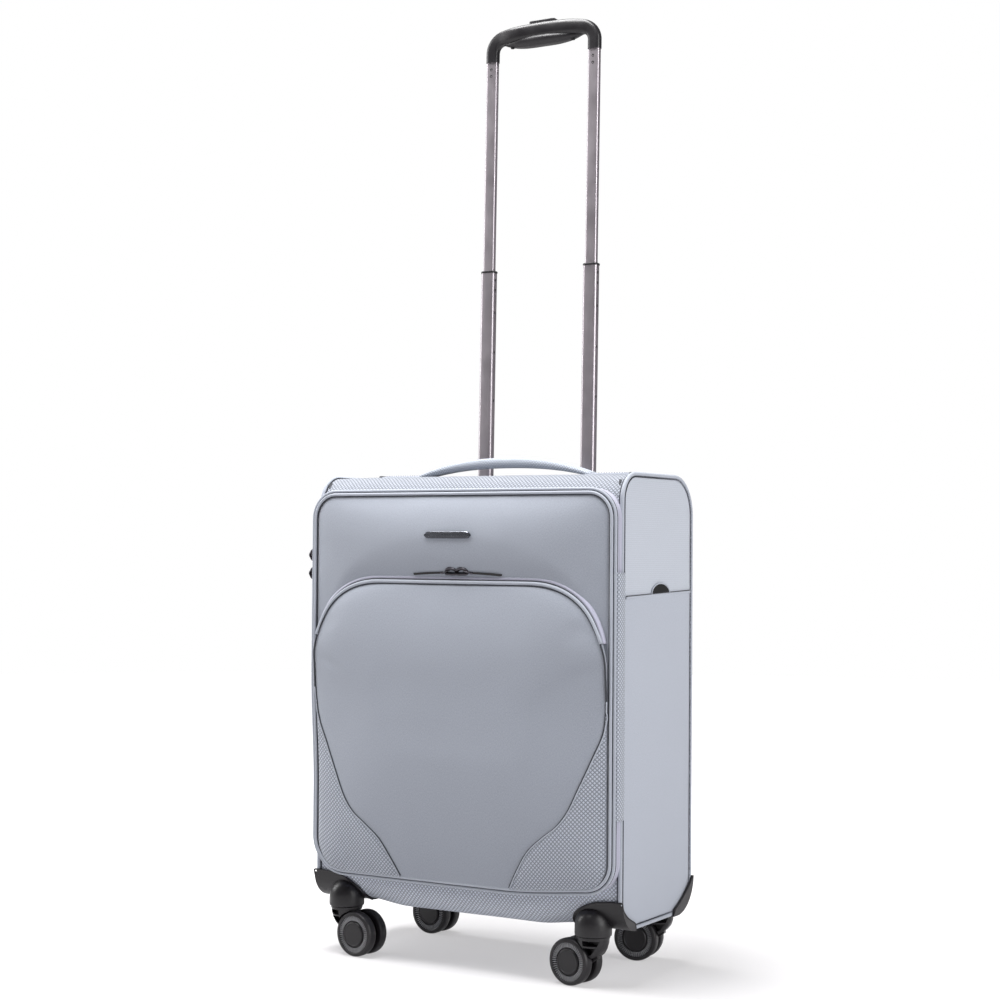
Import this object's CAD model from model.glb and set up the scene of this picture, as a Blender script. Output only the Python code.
"""Softside upright suitcase: the visual model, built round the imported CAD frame.

Shapes are drawn in millimetres in the case's own frame (y = 0 half way through the case depth)
and put into the row frame by at().
"""
import math

import bmesh
import bpy
from mathutils import Matrix, Vector, kdtree, noise
from mathutils.bvhtree import BVHTree


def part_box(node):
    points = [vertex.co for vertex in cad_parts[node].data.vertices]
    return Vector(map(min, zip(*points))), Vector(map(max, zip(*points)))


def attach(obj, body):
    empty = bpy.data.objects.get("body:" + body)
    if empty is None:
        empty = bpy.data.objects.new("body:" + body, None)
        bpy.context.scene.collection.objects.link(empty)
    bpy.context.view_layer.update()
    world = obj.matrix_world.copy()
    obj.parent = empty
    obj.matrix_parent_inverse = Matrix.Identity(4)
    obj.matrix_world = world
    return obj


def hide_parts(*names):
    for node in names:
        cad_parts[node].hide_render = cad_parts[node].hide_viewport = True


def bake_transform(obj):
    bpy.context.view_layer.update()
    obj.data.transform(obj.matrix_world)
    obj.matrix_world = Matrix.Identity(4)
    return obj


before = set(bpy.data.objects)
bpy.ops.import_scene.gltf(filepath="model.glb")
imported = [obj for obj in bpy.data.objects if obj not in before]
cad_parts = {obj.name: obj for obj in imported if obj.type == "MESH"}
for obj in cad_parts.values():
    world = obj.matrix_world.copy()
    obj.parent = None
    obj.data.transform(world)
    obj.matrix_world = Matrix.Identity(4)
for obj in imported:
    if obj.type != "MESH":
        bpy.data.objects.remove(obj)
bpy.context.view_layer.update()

MM = 0.001
FLOOR_GLOW = 0.44                        # keeps the shadows on the floor as pale as in a light tent
FLOOR_BOUNCE = 0.5                       # share of that glow which reaches the case
ROOM_LIGHT = 0.17                        # brightness of the white room on the case
FLOOR_FADE = (260, 900)                  # distances, in mm, over which the floor turns plain white
UP = Vector((0, 0, 1))
RIGHT = Vector((1, 0, 0))
BACK = Vector((0, 1, 0))


def cad(node):
    """Low and high corners of a CAD node in millimetres."""
    low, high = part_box(node)
    return Vector(low) / MM, Vector(high) / MM


# ------------------------------------------------------------------ sizes read from the frame

PANEL_LOW, PANEL_HIGH = cad("side_panel_left")
MID_Y = (PANEL_LOW.y + PANEL_HIGH.y) / 2
CASE_FRONT = PANEL_LOW.y - MID_Y
CASE_BACK = PANEL_HIGH.y - MID_Y
CASE_BOTTOM = PANEL_LOW.z
CASE_TOP = PANEL_HIGH.z
SIDE_X = cad("side_panel_right")[1].x
BAND_X = cad("body_band")[1].x
CASE_RADII = (28, 38, 42, 29)            # front bottom, back bottom, back top, front top
WALL = 3

LID_LOW, LID_HIGH = cad("lid_panel")
LID_HALF = LID_HIGH.x
LID_BOTTOM = LID_LOW.z
LID_TOP = LID_HIGH.z
LID_FRONT = LID_LOW.y - MID_Y
LID_RADIUS = 32
LID_INSET = 6.9                          # the padded lid face starts this far inside the lid's edge
LID_DRAW = 4.5                           # how far its lower left edge is drawn in
LID_SETTLE = 10.5                        # how far the lid's lower edge hangs below its corners
BOTTOM_SAG = 4.6                         # how far the loaded floor of the case hangs down
PARTING_Y = cad("lid_zip_tape")[1].y - MID_Y + 0.3
STRIP_LOW, STRIP_HIGH = cad("hinge_strip")

POCKET_HALF = 187
POCKET_BOTTOM = 106.5
POCKET_CORNER = 27
POCKET_FLAT = 95                         # half length of the arch's straight top
POCKET_SPRING = 340                      # height at which the arch's shoulders start
ARCH_FOOT = 362                          # height at which the arch's zip tape ends
ARCH_POWER = 2.25                        # fullness of the arch's shoulders, 2 being an ellipse
ARCH_TOP = cad("pocket_panel")[1].z - 1
PAD_INSET = 8                            # the padded pocket face starts this far inside the arch
PAD_TOP = ARCH_TOP - PAD_INSET
POCKET_EDGE = 7.2                        # how far the pocket's arched edge stands off the lid
PATCH_SEAM = [(186.6, 302), (183.6, 270), (171, 240), (157, 211), (145, 188), (132, 173), (114, 161),
              (97, 148), (84, 131), (73, 113), (64, 96)]

BADGE_LOW, BADGE_HIGH = cad("badge")
SIDE_POCKET_TOP = cad("side_pocket_right")[1].z
HANDLE_LOW, HANDLE_HIGH = cad("carry_handle")
HANDLE_Y = (HANDLE_LOW.y + HANDLE_HIGH.y) / 2 - MID_Y
HANDLE_END = cad("handle_anchor_right")[1].x
LEAN = math.radians(1.1)
TUBE_X = (cad("trolley_mid_tube_right")[0].x + cad("trolley_mid_tube_right")[1].x) / 2
TROLLEY_Y = 72
CASTER_AXIS = (159, 77)
CASTER_TRAIL = 22.5
CUP_DOME = [(19.9, 57), (19.7, 66), (18.8, 71.5), (16.6, 76), (13, 79.8), (8, 82.4), (0, 83.5)]
CASTERS = {"front_right": (1, -1, 172), "front_left": (-1, -1, -5),
           "rear_right": (1, 1, 188), "rear_left": (-1, 1, -3)}
WHEEL_R = cad("wheel_front_right_a")[1].z / 2


def at(x, y, z):
    """A point of the case's own frame, in metres in the row frame."""
    return Vector((x, y + MID_Y, z)) * MM


def smooth(low, high, value):
    """Eases from 0 at low to 1 at high, whichever of the two is larger."""
    t = min(1.0, max(0.0, (value - low) / (high - low)))
    return t * t * (3 - 2 * t)


def wobble(x, y, z, size, seed=0.0):
    """Gentle seeded unevenness, about -1 to 1, with features of the given size."""
    return noise.noise(Vector((x / size + seed, y / size, z / size)))


# ------------------------------------------------------------------ material node helpers

def linear(r, g, b):
    """Linear colour from the 0-255 screen values."""
    def channel(c):
        c /= 255
        return c / 12.92 if c <= 0.04045 else ((c + 0.055) / 1.055) ** 2.4
    return (channel(r), channel(g), channel(b), 1.0)


class Graph:
    """A material and short calls for wiring its nodes."""

    def __init__(self, name):
        self.material = bpy.data.materials.new(name)
        self.material.use_nodes = True
        self.tree = self.material.node_tree
        self.shader = self.tree.nodes["Principled BSDF"]

    def node(self, kind, **settings):
        made = self.tree.nodes.new(kind)
        for key, value in settings.items():
            setattr(made, key, value)
        return made

    def feed(self, socket, value):
        if isinstance(value, bpy.types.NodeSocket):
            self.tree.links.new(value, socket)
        else:
            socket.default_value = value

    def math(self, operation, *values):
        made = self.node("ShaderNodeMath", operation=operation)
        for socket, value in zip(made.inputs, values):
            self.feed(socket, value)
        return made.outputs[0]

    def coords(self, source):
        """(u, v, w) in millimetres: 'UV' for woven sheets, 'Object' for everything else."""
        texture = self.node("ShaderNodeTexCoord").outputs[source]
        scaled = self.node("ShaderNodeVectorMath", operation="SCALE")
        self.feed(scaled.inputs[0], texture)
        scaled.inputs["Scale"].default_value = 1 / MM
        split = self.node("ShaderNodeSeparateXYZ")
        self.feed(split.inputs[0], scaled.outputs[0])
        return scaled.outputs[0], split.outputs

    def noise(self, vector, scale, detail=2.0, stretch=None):
        if stretch:
            mapping = self.node("ShaderNodeMapping")
            self.feed(mapping.inputs["Vector"], vector)
            mapping.inputs["Scale"].default_value = stretch
            vector = mapping.outputs[0]
        made = self.node("ShaderNodeTexNoise")
        self.feed(made.inputs["Vector"], vector)
        made.inputs["Scale"].default_value = scale
        made.inputs["Detail"].default_value = detail
        return made.outputs["Fac"]

    def mix(self, factor, first, second):
        made = self.node("ShaderNodeMix", data_type="RGBA")
        self.feed(made.inputs["Factor"], factor)
        self.feed(made.inputs["A"], first)
        self.feed(made.inputs["B"], second)
        return made.outputs["Result"]

    def ramp(self, factor, low, high):
        """Factor stretched so that low gives 0 and high gives 1."""
        made = self.node("ShaderNodeMapRange")
        self.feed(made.inputs["Value"], factor)
        made.inputs["From Min"].default_value = low
        made.inputs["From Max"].default_value = high
        return made.outputs[0]

    def bump(self, height, strength, distance, under=None):
        made = self.node("ShaderNodeBump")
        made.inputs["Strength"].default_value = strength
        made.inputs["Distance"].default_value = distance * MM
        self.feed(made.inputs["Height"], height)
        if under:
            self.feed(made.inputs["Normal"], under)
        return made.outputs[0]

    def finish(self, **inputs):
        for key, value in inputs.items():
            self.feed(self.shader.inputs[key.replace("_", " ")], value)
        return self.material


def woven(name, colour, emboss=0.0, cell=(4.6, 4.4), source="UV", heather=0.07, sheen=0.25, top_shade=0.0):
    """Heathered cloth. emboss above 0 presses a lattice of diamonds, cell wide and high, into it.
    top_shade above 0 darkens it towards the top of the case."""
    g = Graph(name)
    vector, (u, v, w) = g.coords(source)
    if source == "Object":
        u, v = g.math("ADD", u, g.math("MULTIPLY", w, 0.37)), g.math("ADD", v, w)
    thread = g.math("MULTIPLY", g.math("SINE", g.math("MULTIPLY", u, 2 * math.pi / 0.62)),
                    g.math("SINE", g.math("MULTIPLY", v, 2 * math.pi / 0.62)))
    yarn = g.noise(vector, 1.0, 2.0, (1.9, 0.55, 1.0))
    cross = g.noise(vector, 1.0, 2.0, (0.55, 1.9, 1.0))
    cloud = g.noise(vector, 0.012, 3.0)
    fleck = g.math("ADD", g.math("MULTIPLY", yarn, 0.5), g.math("MULTIPLY", cross, 0.5))
    dark = tuple(c * (1 - 2.2 * heather) for c in colour[:3]) + (1.0,)
    light = tuple(min(1.0, c * (1 + 1.6 * heather)) for c in colour[:3]) + (1.0,)
    tint = g.mix(g.ramp(fleck, 0.36, 0.64), dark, light)
    tint = g.mix(g.math("MULTIPLY", g.ramp(cloud, 0.3, 0.7), 0.35), tint, colour)
    normal = g.bump(g.math("ADD", thread, g.math("MULTIPLY", fleck, 1.6)), 0.35, 0.10)
    if emboss:
        across, upward = g.math("DIVIDE", u, cell[0]), g.math("DIVIDE", v, cell[1])
        ridges = [g.math("PINGPONG", g.math(way, across, upward), 0.5) for way in ("ADD", "SUBTRACT")]
        pillow = g.ramp(g.math("MINIMUM", *ridges), 0.0, 0.36)
        groove = tuple(c * (1 - 0.55 * emboss) for c in colour[:3]) + (1.0,)
        crest = g.mix(emboss, tint, tuple(min(1.0, c * 1.5) for c in colour[:3]) + (1.0,))
        tint = g.mix(pillow, groove, crest)
        normal = g.bump(pillow, 0.75 * emboss, 0.5, normal)
    if top_shade:
        height = g.coords("Object")[1][2]
        tint = g.mix(g.math("MULTIPLY", g.ramp(height, 500, 540), top_shade), tint, (0.0, 0.0, 0.0, 1.0))
    rough = g.ramp(fleck, -1.5, 1.2)
    return g.finish(Base_Color=tint, Roughness=g.math("ADD", g.math("MULTIPLY", rough, 0.15), 0.74),
                    Normal=normal, Sheen_Weight=sheen, Sheen_Roughness=0.5)


def cord_cloth(name, colour, along="v"):
    """Bias-cut cloth wrapped on a cord or a tape: fine diagonal twill."""
    g = Graph(name)
    vector, (u, v, _) = g.coords("UV")
    twill = g.math("PINGPONG", g.math("ADD", u, g.math("MULTIPLY", v, 1.7)), 0.45)
    fleck = g.noise(vector, 0.9, 2.0)
    tint = g.mix(g.ramp(fleck, 0.3, 0.7), tuple(c * 0.86 for c in colour[:3]) + (1.0,), colour)
    normal = g.bump(twill, 0.3, 0.12)
    return g.finish(Base_Color=tint, Roughness=0.72, Normal=normal, Sheen_Weight=0.2)


def fading_cord(name, near, far):
    """Seam thread that is dark along the front edge and pale along the back edge."""
    g = Graph(name)
    vector, (_, along, _) = g.coords("Object")
    fleck = g.noise(vector, 0.9, 2.0)
    shade = g.mix(g.ramp(along, 0, 70), near, far)
    tint = g.mix(g.ramp(fleck, 0.3, 0.7), tuple(c * 0.86 for c in near[:3]) + (1.0,), shade)
    return g.finish(Base_Color=tint, Roughness=0.72, Normal=g.bump(fleck, 0.3, 0.12))


def zip_cloth(name, colour):
    """Zip tape: fine ribs along its length."""
    g = Graph(name)
    vector, (u, v, _) = g.coords("UV")
    rib = g.math("SINE", g.math("MULTIPLY", v, 2 * math.pi / 0.9))
    weave = g.math("SINE", g.math("MULTIPLY", u, 2 * math.pi / 0.7))
    fleck = g.noise(vector, 0.8, 2.0)
    tint = g.mix(g.ramp(fleck, 0.3, 0.7), tuple(c * 0.88 for c in colour[:3]) + (1.0,), colour)
    normal = g.bump(g.math("ADD", rib, g.math("MULTIPLY", weave, 0.5)), 0.35, 0.09)
    return g.finish(Base_Color=tint, Roughness=0.55, Normal=normal, Sheen_Weight=0.3)


def moulded(name, colour, roughness=0.36, grain=0.5):
    """Moulded plastic: spark-eroded grain, scuffed edges, faint smudges."""
    g = Graph(name)
    vector, _ = g.coords("Object")
    fine = g.noise(vector, 2.4, 3.0)
    smudge = g.noise(vector, 0.05, 4.0)
    edge = g.ramp(g.node("ShaderNodeNewGeometry").outputs["Pointiness"], 0.52, 0.60)
    worn = tuple(min(1.0, c * 2.2 + 0.008) for c in colour[:3]) + (1.0,)
    tint = g.mix(g.math("MULTIPLY", edge, 0.35), colour, worn)
    tint = g.mix(g.math("MULTIPLY", g.ramp(smudge, 0.45, 0.75), 0.15), tint, worn)
    rough = g.math("ADD", g.math("MULTIPLY", g.ramp(smudge, 0.3, 0.7), 0.14), roughness - 0.05)
    return g.finish(Base_Color=tint, Roughness=rough, Normal=g.bump(fine, 0.25 * grain, 0.12),
                    Specular_IOR_Level=0.45)


def metal(name, colour, roughness, brush=None, grain=0.3):
    """Metal, brushed along one axis when brush gives the noise scale per axis."""
    g = Graph(name)
    vector, _ = g.coords("Object")
    streak = g.noise(vector, 1.0, 3.0, brush or (1.2, 1.2, 1.2))
    patch = g.noise(vector, 0.04, 3.0)
    tint = g.mix(g.math("MULTIPLY", g.ramp(streak, 0.3, 0.7), 0.30),
                 colour, tuple(c * 0.72 for c in colour[:3]) + (1.0,))
    rough = g.math("ADD", g.math("MULTIPLY", g.ramp(patch, 0.3, 0.7), 0.10), roughness)
    return g.finish(Base_Color=tint, Roughness=rough, Metallic=0.92, Normal=g.bump(streak, grain, 0.05))


def plain_cloth(name, colour, pitch=1.1, sheen=0.1):
    """Lining or webbing: ribbed weave read from object space."""
    g = Graph(name)
    vector, (u, v, w) = g.coords("Object")
    rib = g.math("SINE", g.math("MULTIPLY", g.math("ADD", u, w), 2 * math.pi / pitch))
    cross = g.math("SINE", g.math("MULTIPLY", g.math("SUBTRACT", w, v), 2 * math.pi / pitch))
    fleck = g.noise(vector, 0.7, 2.0)
    tint = g.mix(g.ramp(fleck, 0.3, 0.7), tuple(c * 0.8 for c in colour[:3]) + (1.0,), colour)
    normal = g.bump(g.math("ADD", rib, cross), 0.3, 0.14)
    return g.finish(Base_Color=tint, Roughness=0.8, Normal=normal, Sheen_Weight=sheen)


FRONT = linear(152, 157, 168)
SIDE = linear(167, 172, 183)
TAPE = linear(172, 172, 190)
INK = linear(46, 49, 58)
BLACK = linear(25, 23, 26)

M = {
    "front": woven("cloth_front", FRONT),
    "front_diamond": woven("cloth_front_diamond", linear(158, 163, 174), emboss=1.0),
    "band": woven("cloth_band", linear(182, 187, 198), emboss=0.9, sheen=0.0, top_shade=0.45),
    "side": woven("cloth_side", SIDE, heather=0.05),
    "side_diamond": woven("cloth_side_diamond", linear(180, 185, 195), emboss=0.3, cell=(2.3, 4.4)),
    "handle": woven("cloth_handle", linear(170, 176, 187), emboss=0.8, cell=(3.6, 3.6)),
    "piping": cord_cloth("piping_cloth", linear(168, 173, 184)),
    "seam": cord_cloth("seam_shadow_thread", INK),
    "side_seam": fading_cord("side_seam_thread", INK, linear(150, 154, 165)),
    "tape": zip_cloth("zip_tape_cloth", TAPE),
    "coil": moulded("zip_coil", linear(150, 152, 168), 0.35, 0.1),
    "lining": plain_cloth("lining_cloth", linear(70, 72, 78), 1.3),
    "mesh": plain_cloth("divider_cloth", linear(96, 99, 108), 2.2),
    "webbing": plain_cloth("strap_webbing", linear(40, 40, 44), 1.6),
    "black": moulded("black_plastic", BLACK),
    "wheel": moulded("wheel_black", linear(26, 24, 27), 0.38, 0.3),
    "board": moulded("board_plastic", linear(140, 143, 147), 0.5),
    "tube": metal("tube_anodised", linear(180, 173, 179), 0.33, (6.0, 6.0, 0.03)),
    "steel": metal("axle_steel", linear(170, 170, 172), 0.25, (0.5, 0.5, 3.0)),
    "gunmetal": metal("gunmetal", linear(70, 68, 73), 0.14, None, 0.15),
    "badge": metal("badge_metal", linear(128, 130, 138), 0.2, (3.0, 3.0, 0.05)),
    "hole": moulded("hole_shadow", linear(6, 6, 7), 0.9, 0.1),
    "rib": moulded("wheel_rib", linear(140, 140, 143), 0.3, 0.1),
}


def leather():
    g = Graph("puller_leather")
    vector, _ = g.coords("Object")
    cell = g.node("ShaderNodeTexVoronoi", feature="DISTANCE_TO_EDGE")
    g.feed(cell.inputs["Vector"], vector)
    cell.inputs["Scale"].default_value = 1.6
    crease = g.math("MINIMUM", cell.outputs["Distance"], 0.2)
    tint = g.mix(g.noise(vector, 0.6, 2.0), linear(22, 20, 22), linear(32, 29, 31))
    return g.finish(Base_Color=tint, Roughness=0.68, Normal=g.bump(crease, 0.4, 0.25))


M["leather"] = leather()

# ------------------------------------------------------------------ mesh helpers


def piece(name, mesh, body, material, replaces=(), angle=None):
    """Wrap a mesh as a named piece riding on a body."""
    obj = bpy.data.objects.new(name, mesh)
    bpy.context.scene.collection.objects.link(obj)
    mesh.materials.clear()
    mesh.materials.append(M[material])
    if angle is None:
        mesh.polygons.foreach_set("use_smooth", [True] * len(mesh.polygons))
    else:
        mesh.set_sharp_from_angle(angle=math.radians(angle))
    if body:
        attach(obj, body)
    if replaces:
        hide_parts(*replaces)
    return obj


def mesh_of(name, points, faces, uvs=None):
    """points in metres. uvs gives one (u, v) in metres per point."""
    mesh = bpy.data.meshes.new(name)
    mesh.from_pydata([tuple(p) for p in points], [], faces)
    if uvs:
        layer = mesh.uv_layers.new(name="UVMap")
        for loop in mesh.loops:
            layer.data[loop.index].uv = uvs[loop.vertex_index]
    mesh.validate()
    mesh.update()
    return mesh


def join(name, meshes):
    """Several meshes as one."""
    bm = bmesh.new()
    for mesh in meshes:
        bm.from_mesh(mesh)
    joined = bpy.data.meshes.new(name)
    bm.to_mesh(joined)
    bm.free()
    return joined


def grid_faces(rows, columns, wrap_rows=False, wrap_columns=False, start=0, flip=False):
    faces = []
    for r in range(rows if wrap_rows else rows - 1):
        for c in range(columns if wrap_columns else columns - 1):
            r2, c2 = (r + 1) % rows, (c + 1) % columns
            quad = (r * columns + c, r * columns + c2, r2 * columns + c2, r2 * columns + c)
            quad = tuple(start + i for i in quad)
            faces.append(quad[::-1] if flip else quad)
    return faces


def fix_normals(mesh):
    bm = bmesh.new()
    bm.from_mesh(mesh)
    bmesh.ops.recalc_face_normals(bm, faces=bm.faces)
    bm.to_mesh(mesh)
    bm.free()
    return mesh


def loft(name, sections, closed=False, cap=True):
    """Closed solid through equal-length loops of points (metres). UVs run round and along."""
    count = len(sections[0])
    points = [p for section in sections for p in section]
    uvs = []
    along = 0.0
    for i, section in enumerate(sections):
        if i:
            along += (section[0] - sections[i - 1][0]).length
        around = 0.0
        for j, p in enumerate(section):
            if j:
                around += (p - section[j - 1]).length
            uvs.append((along, around))
    faces = grid_faces(len(sections), count, wrap_rows=closed, wrap_columns=True)
    if cap and not closed:
        faces.append(tuple(range(count))[::-1])
        faces.append(tuple(range(len(points) - count, len(points))))
    return fix_normals(mesh_of(name, points, faces, uvs))


def sweep(name, path, section, up, closed=False):
    """Sweep a section of (side, up) offsets in mm along points in metres."""
    sections = []
    for i, here in enumerate(path):
        before = path[i - 1] if closed or i else here
        after = path[(i + 1) % len(path)] if closed or i < len(path) - 1 else here
        tangent = (after - before).normalized()
        reference = up(here) if callable(up) else up
        side = tangent.cross(reference).normalized()
        rise = side.cross(tangent).normalized()
        sections.append([here + (side * a + rise * b) * MM for a, b in section])
    return loft(name, sections, closed)


def circle(radius, sides=10):
    return [(radius * math.cos(2 * math.pi * k / sides), radius * math.sin(2 * math.pi * k / sides))
            for k in range(sides)]


def plank(width, thick, crown=0.0):
    """Flat tape section, optionally crowned."""
    steps = 6
    top = [(-width / 2 + width * k / steps,
            thick / 2 + crown * (1 - (2 * k / steps - 1) ** 2)) for k in range(steps + 1)]
    low = [(-width / 2 + width * k / steps,
            -thick / 2 + crown * (1 - (2 * k / steps - 1) ** 2)) for k in range(steps, -1, -1)]
    return top + low


def arc(cu, cv, ru, rv, a0, a1, steps):
    return [(cu + ru * math.cos(math.radians(a0 + (a1 - a0) * k / steps)),
             cv + rv * math.sin(math.radians(a0 + (a1 - a0) * k / steps))) for k in range(steps + 1)]


def even(points, step, closed=True):
    """Points respaced at about step along a polyline."""
    chain = points + [points[0]] if closed else points
    lengths = [0.0]
    for a, b in zip(chain, chain[1:]):
        lengths.append(lengths[-1] + math.dist(a, b))
    count = max(4, round(lengths[-1] / step))
    result = []
    index = 0
    for k in range(count if closed else count + 1):
        target = lengths[-1] * k / count
        while index < len(lengths) - 2 and lengths[index + 1] < target:
            index += 1
        span = lengths[index + 1] - lengths[index] or 1.0
        t = (target - lengths[index]) / span
        result.append(tuple(a + (b - a) * t for a, b in zip(chain[index], chain[index + 1])))
    return result


def curved(points, step):
    """Evenly spaced points on a smooth curve through an open chain of points."""
    chain = [points[0]] + list(points) + [points[-1]]
    fine = []
    for a, b, c, d in zip(chain, chain[1:], chain[2:], chain[3:]):
        for k in range(12):
            t = k / 12
            fine.append(tuple(q + 0.5 * t * (r - p + t * (2 * p - 5 * q + 4 * r - w + t * (3 * (q - r) + w - p)))
                              for p, q, r, w in zip(a, b, c, d)))
    return even(fine + [tuple(points[-1])], step, closed=False)


def rounded_loop(low_u, low_v, high_u, high_v, radii, step=4.0):
    """Anticlockwise rounded rectangle, radii from the low-low corner, evenly stepped."""
    r0, r1, r2, r3 = radii
    loop = arc(high_u - r1, low_v + r1, r1, r1, -90, 0, 16)
    loop += arc(high_u - r2, high_v - r2, r2, r2, 0, 90, 16)
    loop += arc(low_u + r3, high_v - r3, r3, r3, 90, 180, 16)
    loop += arc(low_u + r0, low_v + r0, r0, r0, 180, 270, 16)
    return even(loop, step)


def lathe(name, profile, place, sides=64):
    """Turn [radius, height] steps (mm) about place's z axis. Ends on the axis close the solid."""
    points, faces = [], []
    rings = []
    for r, h in profile:
        if r < 1e-6:
            rings.append([len(points)])
            points.append(place @ (Vector((0, 0, h)) * MM))
        else:
            rings.append(list(range(len(points), len(points) + sides)))
            points += [place @ (Vector((r * math.cos(2 * math.pi * k / sides),
                                        r * math.sin(2 * math.pi * k / sides), h)) * MM) for k in range(sides)]
    for a, b in zip(rings, rings[1:]):
        for k in range(sides):
            k2 = (k + 1) % sides
            if len(a) == 1:
                faces.append((a[0], b[k], b[k2]))
            elif len(b) == 1:
                faces.append((a[k], b[0], a[k2]))
            else:
                faces.append((a[k], b[k], b[k2], a[k2]))
    return fix_normals(mesh_of(name, points, faces))


def prism(name, outline, place_point, a, b, bevel=0.0):
    """Solid between planes a and b: place_point(u, v, w) puts outline point (u, v) at depth w."""
    depths = [(a, bevel), (a + bevel, 0.0), (b - bevel, 0.0), (b, bevel)] if bevel else [(a, 0.0), (b, 0.0)]
    cu = sum(p[0] for p in outline) / len(outline)
    cv = sum(p[1] for p in outline) / len(outline)
    reach = max(abs(p[0] - cu) + abs(p[1] - cv) for p in outline)
    sections = []
    for w, inset in depths:
        k = 1 - inset / reach * 1.4
        sections.append([place_point(cu + (u - cu) * k, cv + (v - cv) * k, w) for u, v in outline])
    return loft(name, sections)


def block(name, low, high, bevel=1.0, segments=3, place=None):
    """Box between corners in case millimetres, with rounded edges."""
    bm = bmesh.new()
    bmesh.ops.create_cube(bm, size=1.0)
    size = Vector(high) - Vector(low)
    middle = (Vector(high) + Vector(low)) / 2
    for v in bm.verts:
        v.co = Vector((v.co.x * size.x, v.co.y * size.y, v.co.z * size.z))
    if bevel:
        bmesh.ops.bevel(bm, geom=bm.edges[:], offset=min(bevel, min(size) * 0.48), segments=segments,
                        affect="EDGES", profile=0.5)
    for v in bm.verts:
        if place:
            v.co = place @ ((v.co + middle) * MM)
        else:
            v.co = at(*(v.co + middle))
    mesh = bpy.data.meshes.new(name)
    bm.to_mesh(mesh)
    bm.free()
    return mesh


def final_mesh(obj):
    """Bake an object's modifiers into its mesh."""
    graph = bpy.context.evaluated_depsgraph_get()
    baked = bpy.data.meshes.new_from_object(obj.evaluated_get(graph), depsgraph=graph)
    obj.modifiers.clear()
    obj.data = baked
    return baked


def carve(mesh, cutters, operation="DIFFERENCE"):
    """Boolean of a mesh with helper meshes, which are then dropped."""
    target = bpy.data.objects.new("carve_target", mesh)
    bpy.context.scene.collection.objects.link(target)
    helpers = []
    for cutter in cutters:
        helper = bpy.data.objects.new("carve_tool", cutter)
        bpy.context.scene.collection.objects.link(helper)
        helpers.append(helper)
        boolean = target.modifiers.new("cut", "BOOLEAN")
        boolean.operation = operation
        boolean.solver = "EXACT"
        boolean.object = helper
    bpy.context.view_layer.update()
    result = final_mesh(target)
    for obj in helpers + [target]:
        bpy.data.objects.remove(obj)
    return result


def cube_tool(low, high):
    return block("tool", low, high, 0.0)


def puff(obj, pinned, pressure, cap):
    """Blow the cloth up a little between its pinned seams, never further than cap mm."""
    rest = [v.co.copy() for v in obj.data.vertices]
    group = obj.vertex_groups.new(name="pinned")
    group.add(pinned, 1.0, "REPLACE")
    cloth = obj.modifiers.new("cloth", "CLOTH")
    s = cloth.settings
    s.quality = 6
    s.mass = 0.3
    s.tension_stiffness = 25
    s.compression_stiffness = 25
    s.shear_stiffness = 8
    s.bending_stiffness = 1.5
    s.vertex_group_mass = "pinned"
    s.use_pressure = True
    s.uniform_pressure_force = pressure
    s.effector_weights.gravity = 0
    cloth.collision_settings.use_collision = False
    scene = bpy.context.scene
    for step in range(1, 21):
        scene.frame_set(step)
    graph = bpy.context.evaluated_depsgraph_get()
    moved = [v.co.copy() for v in obj.evaluated_get(graph).data.vertices]
    obj.modifiers.clear()
    scene.frame_set(1)
    for vertex, before, after in zip(obj.data.vertices, rest, moved):
        step = after - before
        if step.length > cap * MM:
            step = step.normalized() * cap * MM
        vertex.co = before + step
    obj.data.update()


def subdivided(obj, levels=1):
    modifier = obj.modifiers.new("smooth", "SUBSURF")
    modifier.levels = levels
    modifier.render_levels = levels
    return obj


def flip_x(points):
    return [(-x, z) for x, z in points]


# ------------------------------------------------------------------ outlines

def drawn_in(x, z):
    """The lid's lower left is pulled a little towards the middle."""
    return LID_DRAW * smooth(320, 190, z) * smooth(0, -190, x)


def settle(x, z):
    """The lid's lower edge hangs lower between its corners, most on the left."""
    hang = smooth(205, 150, -x) if x < 0 else 1 - smooth(60, 215, x)
    return -LID_SETTLE * hang * (1 - smooth(LID_BOTTOM + 5, LID_BOTTOM + 190, z))


def lid_loop(inset, y, step=4.0):
    r = LID_RADIUS - inset
    loop = rounded_loop(-LID_HALF + inset, LID_BOTTOM + inset, LID_HALF - inset, LID_TOP - inset, (r, r, r, r), step)
    return [at(x + drawn_in(x, z), y, z + settle(x, z)) for x, z in loop]


def case_loop(offset, x, step=5.0):
    radii = tuple(r + offset for r in CASE_RADII)
    loop = rounded_loop(CASE_FRONT - offset, CASE_BOTTOM - offset, CASE_BACK + offset, CASE_TOP + offset, radii, step)
    return [at(x, y, z) for y, z in loop]


def arch_shoulder(z, inset):
    """How far the arch's shoulder reaches past its straight top. The bands meet at its feet."""
    return POCKET_HALF - POCKET_FLAT - 0.6 * inset * smooth(POCKET_SPRING - 5, POCKET_SPRING + 45, z)


def arch_half(z, inset=0.0):
    """Half width at height z of a curve that runs inset mm inside the arch's outer edge."""
    t = min(1.0, max(0.0, (z - POCKET_SPRING) / (ARCH_TOP - inset - POCKET_SPRING)))
    return POCKET_FLAT + arch_shoulder(z, inset) * (1 - t ** ARCH_POWER) ** (1 / ARCH_POWER)


def pocket_half(z):
    """Half width of the padded pocket face at height z."""
    if z > POCKET_SPRING:
        return arch_half(z, PAD_INSET)
    t = min(1.0, max(0.0, (POCKET_BOTTOM + POCKET_CORNER - z) / POCKET_CORNER))
    return POCKET_HALF - POCKET_CORNER * (1 - math.sqrt(1 - t * t))


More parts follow.
